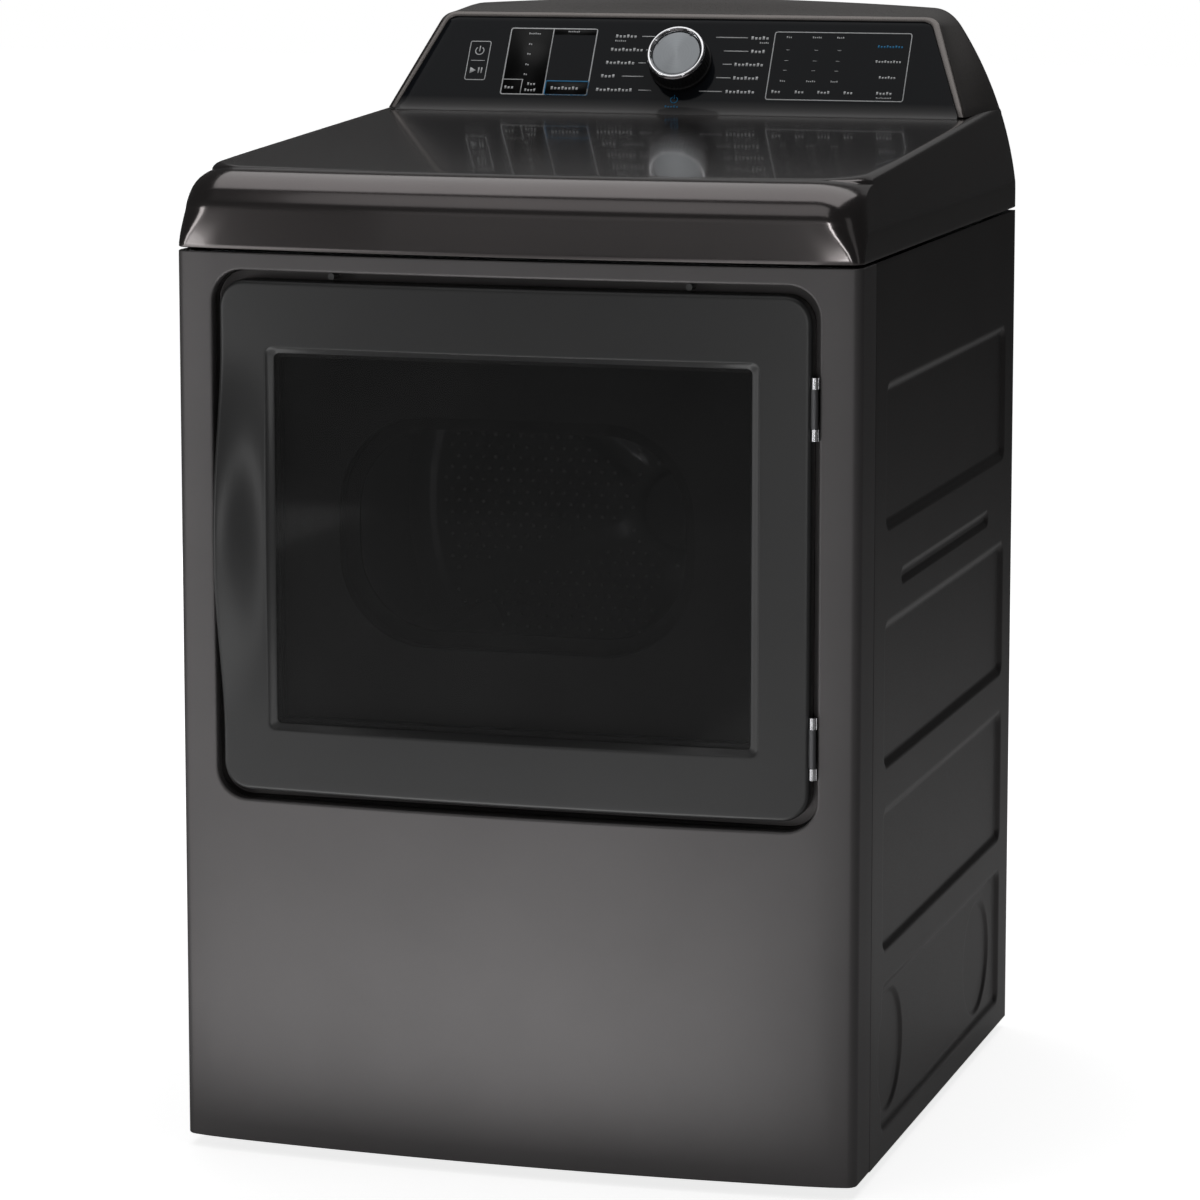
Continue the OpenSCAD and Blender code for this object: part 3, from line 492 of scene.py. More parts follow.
def front_panel():
    """The painted front with its wrapped corners; the door's recess is darker as painted shade."""
    inner_half, roll, edge, foot = 318.0, 1.6, 3.0, 2.0
    nx, nz, nc = 28, 24, 8
    door_mid = (DOOR_Z0 + DOOR_Z1) / 2
    half_w = DOOR_HALF + DOOR_GAP
    z_low, z_high = BODY_Z0 + roll, BODY_Z1 - roll

    def rect(grow):
        return round_rect(-half_w - grow, half_w + grow, door_mid - RECESS_HALF_H - grow,
                          door_mid + RECESS_HALF_H + grow, [RECESS_R + grow] * 4, nx, nz, nc)

    outer = round_rect(-inner_half, inner_half, z_low, z_high, [0.01] * 4, nx, nz, nc)
    loops = []
    for u in (0.0, 0.3, 0.6, 0.85, 1.0):
        loops.append([(x, front_y(x), z) for x, z in between(outer, rect(edge), u)])
    for k in range(1, 7):
        a = math.pi / 2 * k / 6
        flat = rect(edge * (1 - math.sin(a)))
        loops.append([(x, front_y(x) + edge * (1 - math.cos(a)), z) for x, z in flat])
    for u in (0.5, 0.9):
        loops.append([(x, mix(front_y(x) + edge, RECESS_Y - foot, u), z) for x, z in rect(0.0)])
    skin_loops = len(loops) - 1
    for k in range(5):
        a = math.pi / 2 * k / 4
        flat = rect(-foot * (1 - math.cos(a)))
        loops.append(upright(flat, RECESS_Y - foot + foot * math.sin(a)))
    throat = round_rect(-THROAT_HALF, THROAT_HALF, THROAT_Z0, THROAT_Z1, [40, 40, 105, 105],
                        nx, nz, nc)
    for u in (0.4, 0.8, 1.0):
        loops.append(upright(between(rect(-foot), throat, u), RECESS_Y))
    loops.append([(x * 0.995, RECESS_Y + 1.4, z) for x, z in throat])
    # the recess wears the darker side paint, not the front's: painted shade for the deep gap round
    # the door
    recess = build("door_recess", *loft(loops[skin_loops - 1:]), "cabinet", "front_paint",
                   M["side"], outside=(0.0, -1.0, 0.0))
    thicken(recess, SHEET)

    # the upright corners and the returns on to the sides
    rows = [p[1] for p in outer[nx + 2 * nc:nx + 2 * nc + nz + 1]]
    rows = sorted({round(z, 3) for z in rows if z_low + 1 < z < z_high - 1} | {z_low, z_high})
    parts = [loft(loops[:skin_loops])]
    corner_in = [(x, front_y(x)) for x in spread(inner_half, CORNER_X, 6)]
    columns = corner_in + wrap_points()[1:] + [(HALF_W - 0.8, WRAP_Y), (HALF_W - 6.0, WRAP_Y)]
    for sign in (-1, 1):
        parts.append(loft([[(sign * x, y, z) for z in rows] for x, y in columns], closed=False))
    # the rolled top and bottom edges
    across = [(p[0], front_y(p[0])) for p in outer[nc + 1:nc + nx]]
    for z, way in ((BODY_Z0, 1), (BODY_Z1, -1)):
        strip = []
        for inset, back in edge_profile(roll, 9.0):
            flank = [(x, y + inset) for x, y in corner_in] + wrap_points(inset)[1:]
            left = [(-x, y) for x, y in reversed(flank)]
            middle = [(x, y + inset) for x, y in across]
            strip.append([(x, y, z + way * back) for x, y in left + middle + flank])
        parts.append(loft(strip, closed=False))
    skin = build("front_panel_skin", *join(parts), "cabinet", "front_paint", M["front"],
                 ["front_panel"])
    thicken(skin, SHEET)


# ---- door ---------------------------------------------------------------------------------

def lip_rise(z):
    """How far the pull lip stands out at height z."""
    u = (z - LIP_Z) / LIP_HALF
    if abs(u) >= 1:
        return 0.0
    return LIP_OUT * (0.5 + 0.5 * math.cos(math.pi * u)) ** 0.9


DOOR_STEPS = (28, 56, 10)


def glass_outline(grow):
    """The outline of the door glass, grown by a distance."""
    return round_rect(GLASS_LOW[0] - grow, GLASS_HIGH[0] + grow, GLASS_LOW[2] - grow,
                      GLASS_HIGH[2] + grow, [max(1.0, 8 + grow)] * 4, *DOOR_STEPS)


def door_frame():
    """The frame of the door, lofted from its back edge round the front and back to the start."""
    nx, nz, nc = DOOR_STEPS
    outer_r, edge = 27.0, 4.0
    rim_left = -248.0
    rim = round_rect(rim_left, 248.0, 429.5, 807.0, [8.0] * 4, nx, nz, nc)
    hole = round_rect(-239.5, 239.5, 436.0, 800.5, [5.0] * 4, nx, nz, nc)
    stile_swell = 0.06
    ledge_y = -350.5

    def outer(grow):
        return round_rect(-DOOR_HALF - grow, DOOR_HALF + grow, DOOR_Z0 - grow, DOOR_Z1 + grow,
                          [outer_r + grow] * 4, nx, nz, nc)

    def swell(p):
        """Forward bulge of the left stile at a point of the front face."""
        across = (rim_left + 4 - p[0]) / (rim_left + 4 + DOOR_HALF)
        if across > 0:
            return lip_rise(p[1]) * (stile_swell + (1 - stile_swell) * smooth_step(across))
        return lip_rise(p[1]) * stile_swell * smooth_step(1 + across * 4)

    def face(p, back=0.0):
        return (p[0], front_y(p[0]) - swell(p) + back, p[1])

    def pocket(p, depth, u):
        """A point of the finger pocket behind the lip: depth runs in from the wall, u from the
        pocket's back to the lip. Away from the lip the pocket closes to a flat wall."""
        if p[0] > -DOOR_HALF + 1:
            amount = 0.0
        else:
            amount = smooth_step((lip_rise(p[1]) - 3.0) / 9.0)
        shut_low = mix(DOOR_BACK, front_y(p[0]) + edge, 0.55)
        shut_high = mix(DOOR_BACK, front_y(p[0]) + edge, 0.75)
        shut = mix(shut_low, shut_high, u)
        lip_back = front_y(DOOR_HALF) - lip_rise(p[1]) + 6.0 + 0.45 * depth
        wide = mix(ledge_y, min(ledge_y, lip_back), u)
        return (p[0] + depth * amount, mix(shut, wide, amount), p[1])

    wall = outer(0.0)
    loops = [upright(outer(-3.0), DOOR_BACK), upright(wall, DOOR_BACK)]
    for depth, u in ((0, 0), (1.5, 0), (18, 0), (27, 0.02), (31, 0.25), (32, 0.5), (31, 0.75),
                     (27, 0.98), (18, 1), (1.5, 1), (0, 1)):
        loops.append([pocket(p, depth, u) for p in wall])
    loops.append([face(p, edge) for p in wall])
    for k in range(1, 6):
        a = math.pi / 2 * k / 5
        loops.append([face(p, edge * (1 - math.sin(a))) for p in outer(-edge * (1 - math.cos(a)))])
    for u in (0.04, 0.18, 0.36, 0.54, 0.72, 0.88, 0.97):
        loops.append([face(p) for p in between(outer(-edge), rim, u)])
    # the rim rolls into the sloping bezel, down to the glass
    for u, back in ((0.0, 0.0), (0.10, 0.5), (0.22, 1.6)):
        loops.append([face(p, back) for p in between(rim, hole, u)])
    glass_front, glass_back = GLASS_LOW[1], GLASS_HIGH[1]
    for u in (0.35, 0.7, 1.0):
        loops.append([(p[0], mix(face(p, 1.6)[1], glass_front - 0.4, u), p[1])
                      for p in between(rim, hole, 0.22 + 0.78 * u)])
    # behind the bezel: the slot of the glass, then the back
    seat, behind, slack = glass_outline(0.3), glass_outline(-11.0), 0.05
    loops += [upright(hole, glass_front - slack), upright(seat, glass_front - slack),
              upright(seat, glass_back + slack), upright(behind, glass_back + slack),
              upright(behind, DOOR_BACK), loops[0]]
    build("door_frame_shell", *loft(loops), "door", "door_frame", M["door"], ["door_frame"])


def door_glass():
    y0, y1 = GLASS_LOW[1], GLASS_HIGH[1]
    loops = [upright(glass_outline(grow), y)
             for grow, y in ((-0.6, y0), (-0.1, y0 + 0.4), (-0.1, y1 - 0.4), (-0.6, y1))]
    verts, faces = loft(loops)
    count = len(loops[0])
    faces.append(tuple(reversed(range(count))))
    faces.append(tuple(range(3 * count, 4 * count)))
    build("door_window", verts, faces, "door", "door_glass", M["door_glass"], ["door_glass"])


# ---- side panels --------------------------------------------------------------------------

# pressed fields as (middle y, middle z, half length, half height)
FIELDS = [(30.5, 706.0, 275.5, 72.0), (30.5, 473.0, 275.5, 73.0), (30.5, 289.5, 275.5, 72.0),
          (30.5, 111.5, 275.5, 75.5)]
SLOT_FIELD = (25.0, 581.0, 201.0, 8.0)
KNOCKOUTS = [(-200.0, 112.0), (208.0, 109.0)]
KNOCKOUT_R = 62.0


def rect_distance(y, z, field, radius):
    """Signed distance outside a rounded rectangle."""
    dy = abs(y - field[0]) - field[2] + radius
    dz = abs(z - field[1]) - field[3] + radius
    return math.hypot(max(dy, 0), max(dz, 0)) + min(max(dy, dz), 0) - radius


def side_depth(y, z):
    """How far the side sheet is pressed in at a point: fields, the slot, then the knockouts."""
    depth = 0.0
    for field in FIELDS:
        depth = max(depth, 4.0 * smooth_step(-rect_distance(y, z, field, 14.0) / 9.0))
    depth = max(depth, 2.8 * smooth_step(-rect_distance(y, z, SLOT_FIELD, 7.5) / 5.0))
    ring = 0.0
    for cy, cz in KNOCKOUTS:
        ring = max(ring, 2.6 * smooth_step((KNOCKOUT_R - math.hypot(y - cy, z - cz)) / 5.0))
    return depth + ring


def grid_lines(low, high, coarse, fine, hot):
    """Grid lines from low to high, closer together inside the hot intervals."""
    lines = [low]
    while lines[-1] < high:
        at = lines[-1]
        step = fine if any(a - fine < at < b for a, b in hot) else coarse
        for a, _ in hot:
            if at < a - fine < at + step:
                step = a - fine - at + 0.01
        lines.append(min(high, at + step))
    return lines


def side_panels():
    """Both side sheets, on a grid that is finer where the sheet is pressed."""
    coarse, fine = 16.0, 2.2
    y0, y1 = WRAP_Y + 0.4, BACK_Y - 1.2
    # ends of the fields and of the slot, then the knockouts
    hot_y = [(-247.0, -235.0), (296.0, 308.0), (-178.0, -168.0), (216.0, 228.0)]
    hot_y += [(cy - KNOCKOUT_R - 4, cy + KNOCKOUT_R + 4) for cy, _ in KNOCKOUTS]
    ys = grid_lines(y0, y1, coarse, fine, hot_y)
    hot_z = []
    for _, cz, _, half in FIELDS:
        hot_z += [(cz - half - 2, cz - half + 12), (cz + half - 12, cz + half + 2)]
    hot_z += [(SLOT_FIELD[1] - 10, SLOT_FIELD[1] + 10), (45.0, 176.0)]
    zs = grid_lines(BODY_Z0, BODY_Z1, coarse, fine, hot_z)
    for sign, side in ((-1, "left"), (1, "right")):
        grid = [[(sign * (HALF_W - inset), y, z) for z in zs]
                for inset, y in ((8, y0 + 1.0), (1.0, y0), (0.3, y0 + 0.3))]
        for y in ys:
            grid.append([(sign * (HALF_W - side_depth(y, z)), max(y, y0 + 1.0), z) for z in zs])
        part = loft(grid, closed=False)
        verts, faces = part if sign > 0 else flipped(part)
        sheet = build(f"side_sheet_{side}", verts, faces, "cabinet", "side_paint", M["side"],
                      [f"side_panel_{side}"])
        thicken(sheet, 1.0)


# ---- lid ----------------------------------------------------------------------------------

BAND = 0.50  # share of the lid's edge that is the flat band below the crease
CREASE_Z = 939.0
NOSE_RUN, NOSE_RISE = 45.0, 37.0
SHOULDER = 9.0


def lid_level(h, tuck=0.0):
    """One loop round the lid: h from 0 at the seam to 1 at the start of the top; tuck pulls it
    in. Below the crease the front is a flat band, above it a rounded nose."""
    n_front, n_corner, n_side, n_back, n_blend = 40, 12, 36, 24, 6
    u = max(0.0, (h - BAND) / (1 - BAND))
    front_in = NOSE_RUN * (1 - math.cos(u * math.pi / 2)) + tuck
    if h < BAND:
        front_z = mix(LID_Z, CREASE_Z, h / BAND)
        corner = mix(12.0, 36.0, smooth_step(h / BAND))
    else:
        front_z = CREASE_Z + NOSE_RISE * math.sin(u * math.pi / 2)
        corner = mix(36.0, 46.0, u)

    def side_z(y):
        if h < BAND:
            return mix(LID_Z, CREASE_Z, h / BAND)
        top = lid_at(y) - mix(0.0, SHOULDER, smooth_step((y + 340) / 60))
        return mix(CREASE_Z, top, math.sin(math.pi / 2 * u))

    base_half = side_x(side_z(-330)) - tuck
    cx = base_half - corner
    points = [(x, front_y(x) + front_in, front_z) for x in spread(-cx, cx, n_front)]
    cy = front_y(cx) + front_in + corner
    for k in range(1, n_corner + 1):
        a = math.radians(-90 + 90.0 * k / n_corner)
        z = mix(front_z, side_z(cy), smooth_step(k / n_corner))
        points.append((cx + corner * math.cos(a), cy + corner * math.sin(a), z))
    for k in range(1, n_side + 1):
        y = mix(cy, BACK_Y - tuck * 0.2, k / n_side)
        z = side_z(y)
        half = side_x(z) - tuck
        points.append((half if k > n_blend else mix(base_half, half, k / n_blend), y, z))
    right = points[n_front + 1:]
    rx, ry, rz = points[-1]
    back = [(mix(rx, -rx, k / n_back), ry, rz) for k in range(1, n_back)]
    return points + back + [(-x, y, z) for x, y, z in reversed(right)]


def lid():
    """Horizontal loops from the seam up over the shoulders, then across the sloping top."""
    seam = lid_level(0.0)
    loops = [[(x * 0.99, y + 2 if y < 0 else y - 2, z + 8) for x, y, z in seam],
             [(x * 0.998, y + (0.7 if y < 0 else -0.7), z) for x, y, z in seam],
             [(x, y, z + 0.8) for x, y, z in seam]]
    loops += [lid_level(h) for h in (0.06, 0.15, 0.25, 0.35, 0.44, 0.48, 0.50, 0.52, 0.56, 0.62,
                                     0.68, 0.74, 0.8, 0.86, 0.91, 0.95, 0.98, 1.0)]
    # the shoulder's fillet and the sloping top
    for k in range(1, 6):
        a = math.pi / 2 * k / 5
        flat = lid_level(1.0, SHOULDER * (1 - math.cos(a)))
        loops.append([(x, y, mix(z, lid_at(y), math.sin(a))) for x, y, z in flat])
    last = loops[-1]
    for u in (0.03, 0.1, 0.3, 0.6, 0.9, 1.0):
        loops.append([(x * mix(1, 0.02, u), mix(y, 0.0, u), lid_at(mix(y, 0.0, u)))
                      for x, y, _ in last])
    verts, faces = loft(loops)
    faces.append(tuple(range(len(verts) - len(last), len(verts))))
    skin = build("lid_skin", verts, faces, "cabinet", "lid_paint", M["lid"], ["top_panel"])
    thicken(skin, 1.0)


# ---- console ------------------------------------------------------------------------------

UP = Vector((0, math.cos(GLASS_TILT), math.sin(GLASS_TILT)))
OUT = Vector((0, -math.sin(GLASS_TILT), math.cos(GLASS_TILT)))


def on_glass(x, up, out=0.0):
    """A point on the console glass: across, up its slope and out from it."""
    p = Vector(GLASS_FOOT) + UP * up + OUT * out
    return (x, p.y, p.z)


def crest_z(x, drop=0.0):
    return TOP_Z - drop - x * x / 2 / CREST_R


SIDE_STEPS, TOP_STEPS = 10, 24
FRAME_FOOT = 2.0
KNEE_Z = 1093.0  # where the console's ends begin to round over into the crest
SHOULDER_X, END_X = 253.0, 270.0


def rounded(knee, corner, shoulder):
    """Points of the curve that rounds off a corner, from knee to shoulder."""
    points = []
    for k in range(9):
        u = k / 8
        points.append(tuple(knee[i] * (1 - u) ** 2 + corner[i] * 2 * u * (1 - u)
                            + shoulder[i] * u * u for i in range(2)))
    return points


def console_path(half_foot, half_top, top, r):
    """An open path up one side, across the top and down the other, as (x, up) pairs."""
    slope = Vector((half_top - half_foot, top - FRAME_FOOT)).normalized()
    knee = (half_top - slope[0] * r, top - slope[1] * r)
    shoulder = (half_top - r, top)
    right = [(mix(half_foot, knee[0], k / SIDE_STEPS), mix(FRAME_FOOT, knee[1], k / SIDE_STEPS))
             for k in range(SIDE_STEPS)]
    right += rounded(knee, (half_top, top), shoulder)
    across = [(x, top) for x in spread(shoulder[0], -shoulder[0], TOP_STEPS)[1:-1]]
    return right + across + [(-x, up) for x, up in reversed(right)]


def end_path(y, inset):
    """The console's outline seen from the front, matched to console_path point by point."""
    right = [(side_x(z, inset), z) for z in spread(lid_at(y) - 4, KNEE_Z, SIDE_STEPS)[:-1]]
    shoulder = (SHOULDER_X - inset, crest_z(SHOULDER_X, inset))
    corner = (END_X - inset, crest_z(END_X, inset))
    right += rounded((side_x(KNEE_Z, inset), KNEE_Z), corner, shoulder)
    across = [(x, crest_z(x, inset))
              for x in spread(shoulder[0], -shoulder[0], TOP_STEPS)[1:-1]]
    return right + across + [(-x, z) for x, z in reversed(right)]


def console():
    """The console's shell: frame round the glass, crest and ends, and the back wall."""
    window = console_path(309.5, 266.0, 115.2, 9.0)
    frame_in = console_path(310.3, 266.8, 116.0, 9.8)
    frame_out = console_path(317.0, 272.5, 121.0, 13.0)
    front_edge = [on_glass(*p, 0.6) for p in frame_out]
    loops = [[on_glass(*p, -2.5) for p in window], [on_glass(*p, 0.2) for p in window],
             [on_glass(*p, 0.8) for p in frame_in],
             [on_glass(*p, 1.4) for p in between(frame_in, frame_out, 0.4)], front_edge]
    rear_y = BACK_Y - 1.5
    ends = end_path(rear_y, 0.0)
    for u in (0.05, 0.12, 0.22, 0.36, 0.55, 0.75, 0.92, 1.0):
        swing = smooth_step(u * 0.9 + 0.1) if u < 1 else 1.0
        loops.append([(mix(p[0], x, swing), mix(p[1], rear_y, u), mix(p[2], z, swing))
                      for p, (x, z) in zip(front_edge, ends)])
    loops.append(upright(end_path(BACK_Y, 0.8), BACK_Y))
    # the back wall, in to the opening of the rear cover
    low, high = extent("console_rear_cover")
    foot, slack = lid_at(BACK_Y), 0.5
    loops.append([(x, BACK_Y, max(z, foot)) for x, z in end_path(BACK_Y, 3.0)])
    opening = []
    for x, z in end_path(BACK_Y, 14.0):
        up = mix(foot, high[2] + slack, (z - 1002.0) / 88.0)
        opening.append((min(max(x, low[0] - slack), high[0] + slack), BACK_Y,
                        min(max(up, foot), high[2] + slack)))
    loops.append(opening)
    loops.append([(x, y - 2.0, z) for x, y, z in opening])
    shell = build("console_shell", *flipped(loft(loops, closed=False)), "cabinet",
                  "console_trim", M["trim"], ["console_housing"])
    thicken(shell, 1.5)


FOOT_CURL = 22.0
FOOT_TURN = math.radians(40)
FOOT_UP = 10.9


def glass_profile():
    """The console glass from its foot, which curls forward on to the lid, to its top, as
    (up, out) pairs."""
    curl = [(FOOT_UP - FOOT_CURL * math.sin(a), FOOT_CURL * (1 - math.cos(a)))
            for a in spread(FOOT_TURN, 0.0, 10)]
    return curl + [(u, 0.0) for u in spread(14.0, 115.0, 16)]


def console_window():
    """The console glass, as wide at each height as the frame round it."""
    rows = []
    for up, out in glass_profile():
        half = mix(308.5, 266.0, max(0.0, (up - 3.0) / 112.0)) + 0.4
        rows.append([on_glass(x, up, out) for x in spread(-half, half, 48)])
    window = build("console_window", *loft(rows, closed=False), "cabinet", "console_glass",
                   M["console_glass"], ["console_glass"])
    thicken(window, 3.0)


INK = 0.22
BOX_FACES = [(3, 2, 1, 0), (4, 5, 6, 7), (0, 1, 5, 4), (1, 2, 6, 5), (2, 3, 7, 6), (3, 0, 4, 7)]


def plate(x0, x1, u0, u1, out=INK):
    """A thin slab lying on the console glass."""
    corners = [(x0, u0), (x1, u0), (x1, u1), (x0, u1)]
    return [on_glass(x, u, h) for h in (0.0, out) for x, u in corners], BOX_FACES


def bar(x, u, length, height):
    """A slab from x rightwards, centred on the row u."""
    return plate(x, x + length, u - height / 2, u + height / 2)


def ring(x0, x1, u0, u1, r, width=0.9):
    """A rounded outline lying on the console glass."""
    outer = round_rect(x0, x1, u0, u1, [r] * 4, 2, 2, 5)
    inner = round_rect(x0 + width, x1 - width, u0 + width, u1 - width, [max(0.2, r - width)] * 4,
                       2, 2, 5)
    return loft([[on_glass(p[0], p[1], h) for p in path]
                 for path, h in ((outer, 0), (outer, INK), (inner, INK), (inner, 0), (outer, 0))])


def arc_strip(x, u, r, start, end, width=1.1):
    """A curved stroke on the console glass, angles in degrees."""
    loops = []
    for a in (math.radians(degrees) for degrees in spread(start, end, 18)):
        across = [(r, 0), (r, INK), (r - width, INK), (r - width, 0)]
        loops.append([on_glass(x + q * math.cos(a), u + q * math.sin(a), h) for q, h in across])
    verts, faces = loft(loops)
    faces.append((0, 1, 2, 3))
    faces.append(tuple(len(verts) - k for k in (1, 2, 3, 4)))
    return verts, faces


def wedge(x, u, size):
    """A solid triangle pointing right."""
    corners = [(x, u - size / 2), (x + size * 0.9, u), (x, u + size / 2)]
    verts = [on_glass(a, b, h) for h in (0.0, INK) for a, b in corners]
    return verts, [(2, 1, 0), (3, 4, 5), (0, 1, 4, 3), (1, 2, 5, 4), (2, 0, 3, 5)]


# rows of marks beside the knob: height up the glass, mark from and to, line from and to
LEFT_ROWS = [(93.4, -76, -50, -47, -27), (77.0, -79, -41, -40, -38), (61.0, -82, -49, -46, -38),
             (44.6, -85, -65, -62, -38), (28.0, -88, -44, -41, -27)]
RIGHT_ROWS = [(93.4, 74, 96, 35, 70), (77.0, 76, 95, 46, 73), (61.0, 60, 94, 47, 57),
              (44.6, 61, 92, 42, 58), (28.0, 55, 89, 26, 51)]
KEY_X = (-238.0, -214.5)
DISPLAY = (-195.0, -97.0, 20.0, 102.0)
KEYPAD = (99.0, 248.5, 19.0, 101.5)
LAMP_X = (116.0, 147.0, 172.0)


def marks_of(x0, x1, u, height):
    """A row of short slabs standing in for a word."""
    step, parts = height * 1.05, []
    count = max(1, int((x1 - x0) / step))
    for k in range(count):
        tall = height * (1.0 if k % 3 == 0 else 0.72)
        low = u - height / 2
        parts.append(plate(x0 + k * step, x0 + k * step + height * 0.62, low, low + tall))
    return parts


def console_legends():
    x0, x1 = KEY_X
    parts = [ring(x0, x1, 37, 85, 2.5), bar(x0 + 4, 61, x1 - x0 - 8, 0.7)]
    cx = (x0 + x1) / 2
    parts += [arc_strip(cx, 73, 5.2, 125, 415), bar(cx - 0.6, 75.5, 1.2, 7.0)]
    parts += [wedge(cx - 7, 49, 7.5), bar(cx + 2, 49, 1.4, 7.0), bar(cx + 5.2, 49, 1.4, 7.0)]
    x0, x1, u0, u1 = DISPLAY
    parts += [ring(x0, x1, u0, u1, 3.0, 1.3), plate(-147.1, -146.0, u0 + 1.3, u1 - 1.3)]
    parts += [bar(x0 + 1.3, 38.6, -172.6 - x0, 0.9), plate(-172.6, -171.7, u0 + 1.3, 38.6)]
    parts += marks_of(-191, -177, 29, 3.6) + marks_of(-166, -155, 33.5, 3.2)
    parts += marks_of(-168, -153, 26, 3.2)
    for u, wide in ((95, 14), (82, 5), (70, 5), (57, 5), (45, 5)):
        parts += marks_of(-171 - wide * 0.2, -171 + wide * 0.8, u, 2.2)
    parts += marks_of(-130, -116, 98, 1.8)
    parts += marks_of(-139, -104, 29, 3.8)
    for rows in (LEFT_ROWS, RIGHT_ROWS):
        for u, a, b, c, d in rows:
            parts += marks_of(a, b, u, 3.9)
            parts.append(plate(c, d, u - 0.5, u + 0.5))
    parts += marks_of(-76, -63, 87.6, 2.0) + marks_of(84, 96, 87.6, 2.0)
    x0, x1, u0, u1 = KEYPAD
    parts.append(ring(x0, x1, u0, u1, 3.0, 1.0))
    for x, wide in zip(LAMP_X, (7, 12, 9)):
        parts += marks_of(x - wide / 2, x + wide / 2, 95, 2.0)
        parts += marks_of(x - wide / 2, x + wide / 2, 42, 2.0)
        parts += [bar(x - 2, u, 4, 0.5) for u in (79.5, 66.6, 54.8)]
    for x, wide in ((112, 14), (137, 13), (163, 16), (190, 13), (228, 19)):
        parts += marks_of(x - wide / 2, x + wide / 2, 29, 3.4)
    parts += marks_of(213, 243, 67, 3.0) + marks_of(219, 238, 48, 3.0)
    parts += marks_of(219, 237, 23.5, 1.6)
    build("console_legends", *join(parts), "cabinet", None, M["ink"], weighted=False)
    blue = [ring(-146, -97, 20, 38, 2.0, 1.3)] + marks_of(213, 244, 85, 3.0)
    blue += [arc_strip(0, 17, 4.2, 120, 420, 1.0), bar(-0.5, 20.5, 1.0, 4.5)]
    blue += marks_of(-9, 9, 8.8, 3.0)
    build("console_blue_marks", *join(blue), "cabinet", None, M["blue_ink"], weighted=False)
    black = [plate(-194, -147, 21, 101, 0.1), plate(-146, -98, 21, 37, 0.1),
             plate(-146, -98, 94, 101, 0.1)]
    build("console_display", *join(black), "cabinet", "console_glass", M["display"],
          weighted=False)


# ---- knob ---------------------------------------------------------------------------------

KNOB_AT = on_glass(KNOB_X, KNOB_UP)
KNOB_PLACE = Matrix(((1, 0, 0, KNOB_AT[0] * MM), (0, UP.y, OUT.y, KNOB_AT[1] * MM),
                     (0, UP.z, OUT.z, KNOB_AT[2] * MM), (0, 0, 0, 1)))


def turn(profile, count=96, wave=None):
    """Rings about the knob's own axis from (radius, height) pairs; wave alters a radius by
    angle and height."""
    loops = []
    for r, h in profile:
        loop = []
        for k in range(count):
            a = 2 * math.pi * k / count
            q = r + (wave(a, h) if wave else 0.0)
            loop.append((q * math.cos(a), q * math.sin(a), h))
        loops.append(loop)
    return loft(loops)


def knob():
    def flute(a, h):
        depth = 0.55 * smooth_step((h - 4.8) / 1.5) * smooth_step((21.4 - h) / 1.5)
        return -depth * (0.5 - 0.5 * math.cos(48 * a))

    up = (0.0, 0.0, 1.0)
    skirt = [(7, 0.7), (33.4, 0.7), (34, 1.4), (34, 3.9), (33.5, 4.7), (32.9, 4.9), (32.7, 6.3),
             (32.4, 10), (32.0, 16), (31.8, 20), (31.6, 21.4), (31.2, 22.0), (26.4, 22.0),
             (26.4, 20.2), (7, 20.2), (7, 0.7)]
    build("knob_skirt", *turn(skirt, 384, flute), "knob", "black_plastic", M["black"],
          ["knob_body"], outside=up, place=KNOB_PLACE)
    rim = [(26.3, 21.2), (31.8, 22.0), (31.9, 22.8), (31.7, 23.6), (31.0, 25.2), (30.4, 25.8),
           (29.8, 26.0), (28.9, 26.0), (28.4, 25.8), (28.0, 25.3), (27.4, 23.9), (26.3, 23.6),
           (26.3, 21.2)]
    parts = [turn(rim, 128)]
    for angle in (62, 150):
        a = math.radians(angle)
        cos, sin = math.cos(a), math.sin(a)
        verts = [(r * cos + w * -sin, r * sin + w * cos, h) for h in (22.4, 25.6)
                 for r, w in ((25.6, -0.8), (28.6, -0.8), (28.6, 0.8), (25.6, 0.8))]
        parts.append((verts, BOX_FACES))
    build("knob_rim", *join(parts), "knob", "knob_chrome", M["chrome"], ["knob_ring"],
          outside=up, place=KNOB_PLACE)
    face = [(0.02, 22.9), (8, 22.88), (16, 22.82), (24, 22.7), (25.4, 22.62), (26.0, 22.3),
            (26.0, 21.0), (0.02, 21.0)]
    build("knob_face", *turn(face, 128), "knob", "knob_brushed", M["brushed"], ["knob_cap"],
          outside=up, place=KNOB_PLACE)


# ---- drum ---------------------------------------------------------------------------------

DRUM_R = extent("drum_shell")[1][0] - 2.0
DRUM_LOW, DRUM_HIGH = extent("drum_rear_wall")
DRUM_Z = (DRUM_LOW[2] + DRUM_HIGH[2]) / 2
DRUM_BACK = DRUM_LOW[1]
PITCH = 14.3  # between the beads of the rear wall
SIXTH = math.pi / 3
RIB_ANGLE = 0.35


def rib_at(x, z):
    """1 on a radial rib of the drum's rear wall, 0 off it."""
    r, a = math.hypot(x, z), math.atan2(z, x)
    nearest = round((a - RIB_ANGLE) / SIXTH) * SIXTH + RIB_ANGLE
    off = abs(r * math.sin(a - nearest))
    return (smooth_step((15.0 - off) / 5.0) * smooth_step((r - 62) / 20)
            * smooth_step((270 - r) / 14))


def drum_wall_y(x, z):
    """Depth of the drum's rear wall: a raised hub, a raised rim and the ribs."""
    r = math.hypot(x, z)
    hub = 5.0 * smooth_step((48 - r) / 6) + 2.5 * smooth_step((r - 284) / 8)
    return DRUM_BACK - hub - 3.0 * rib_at(x, z)


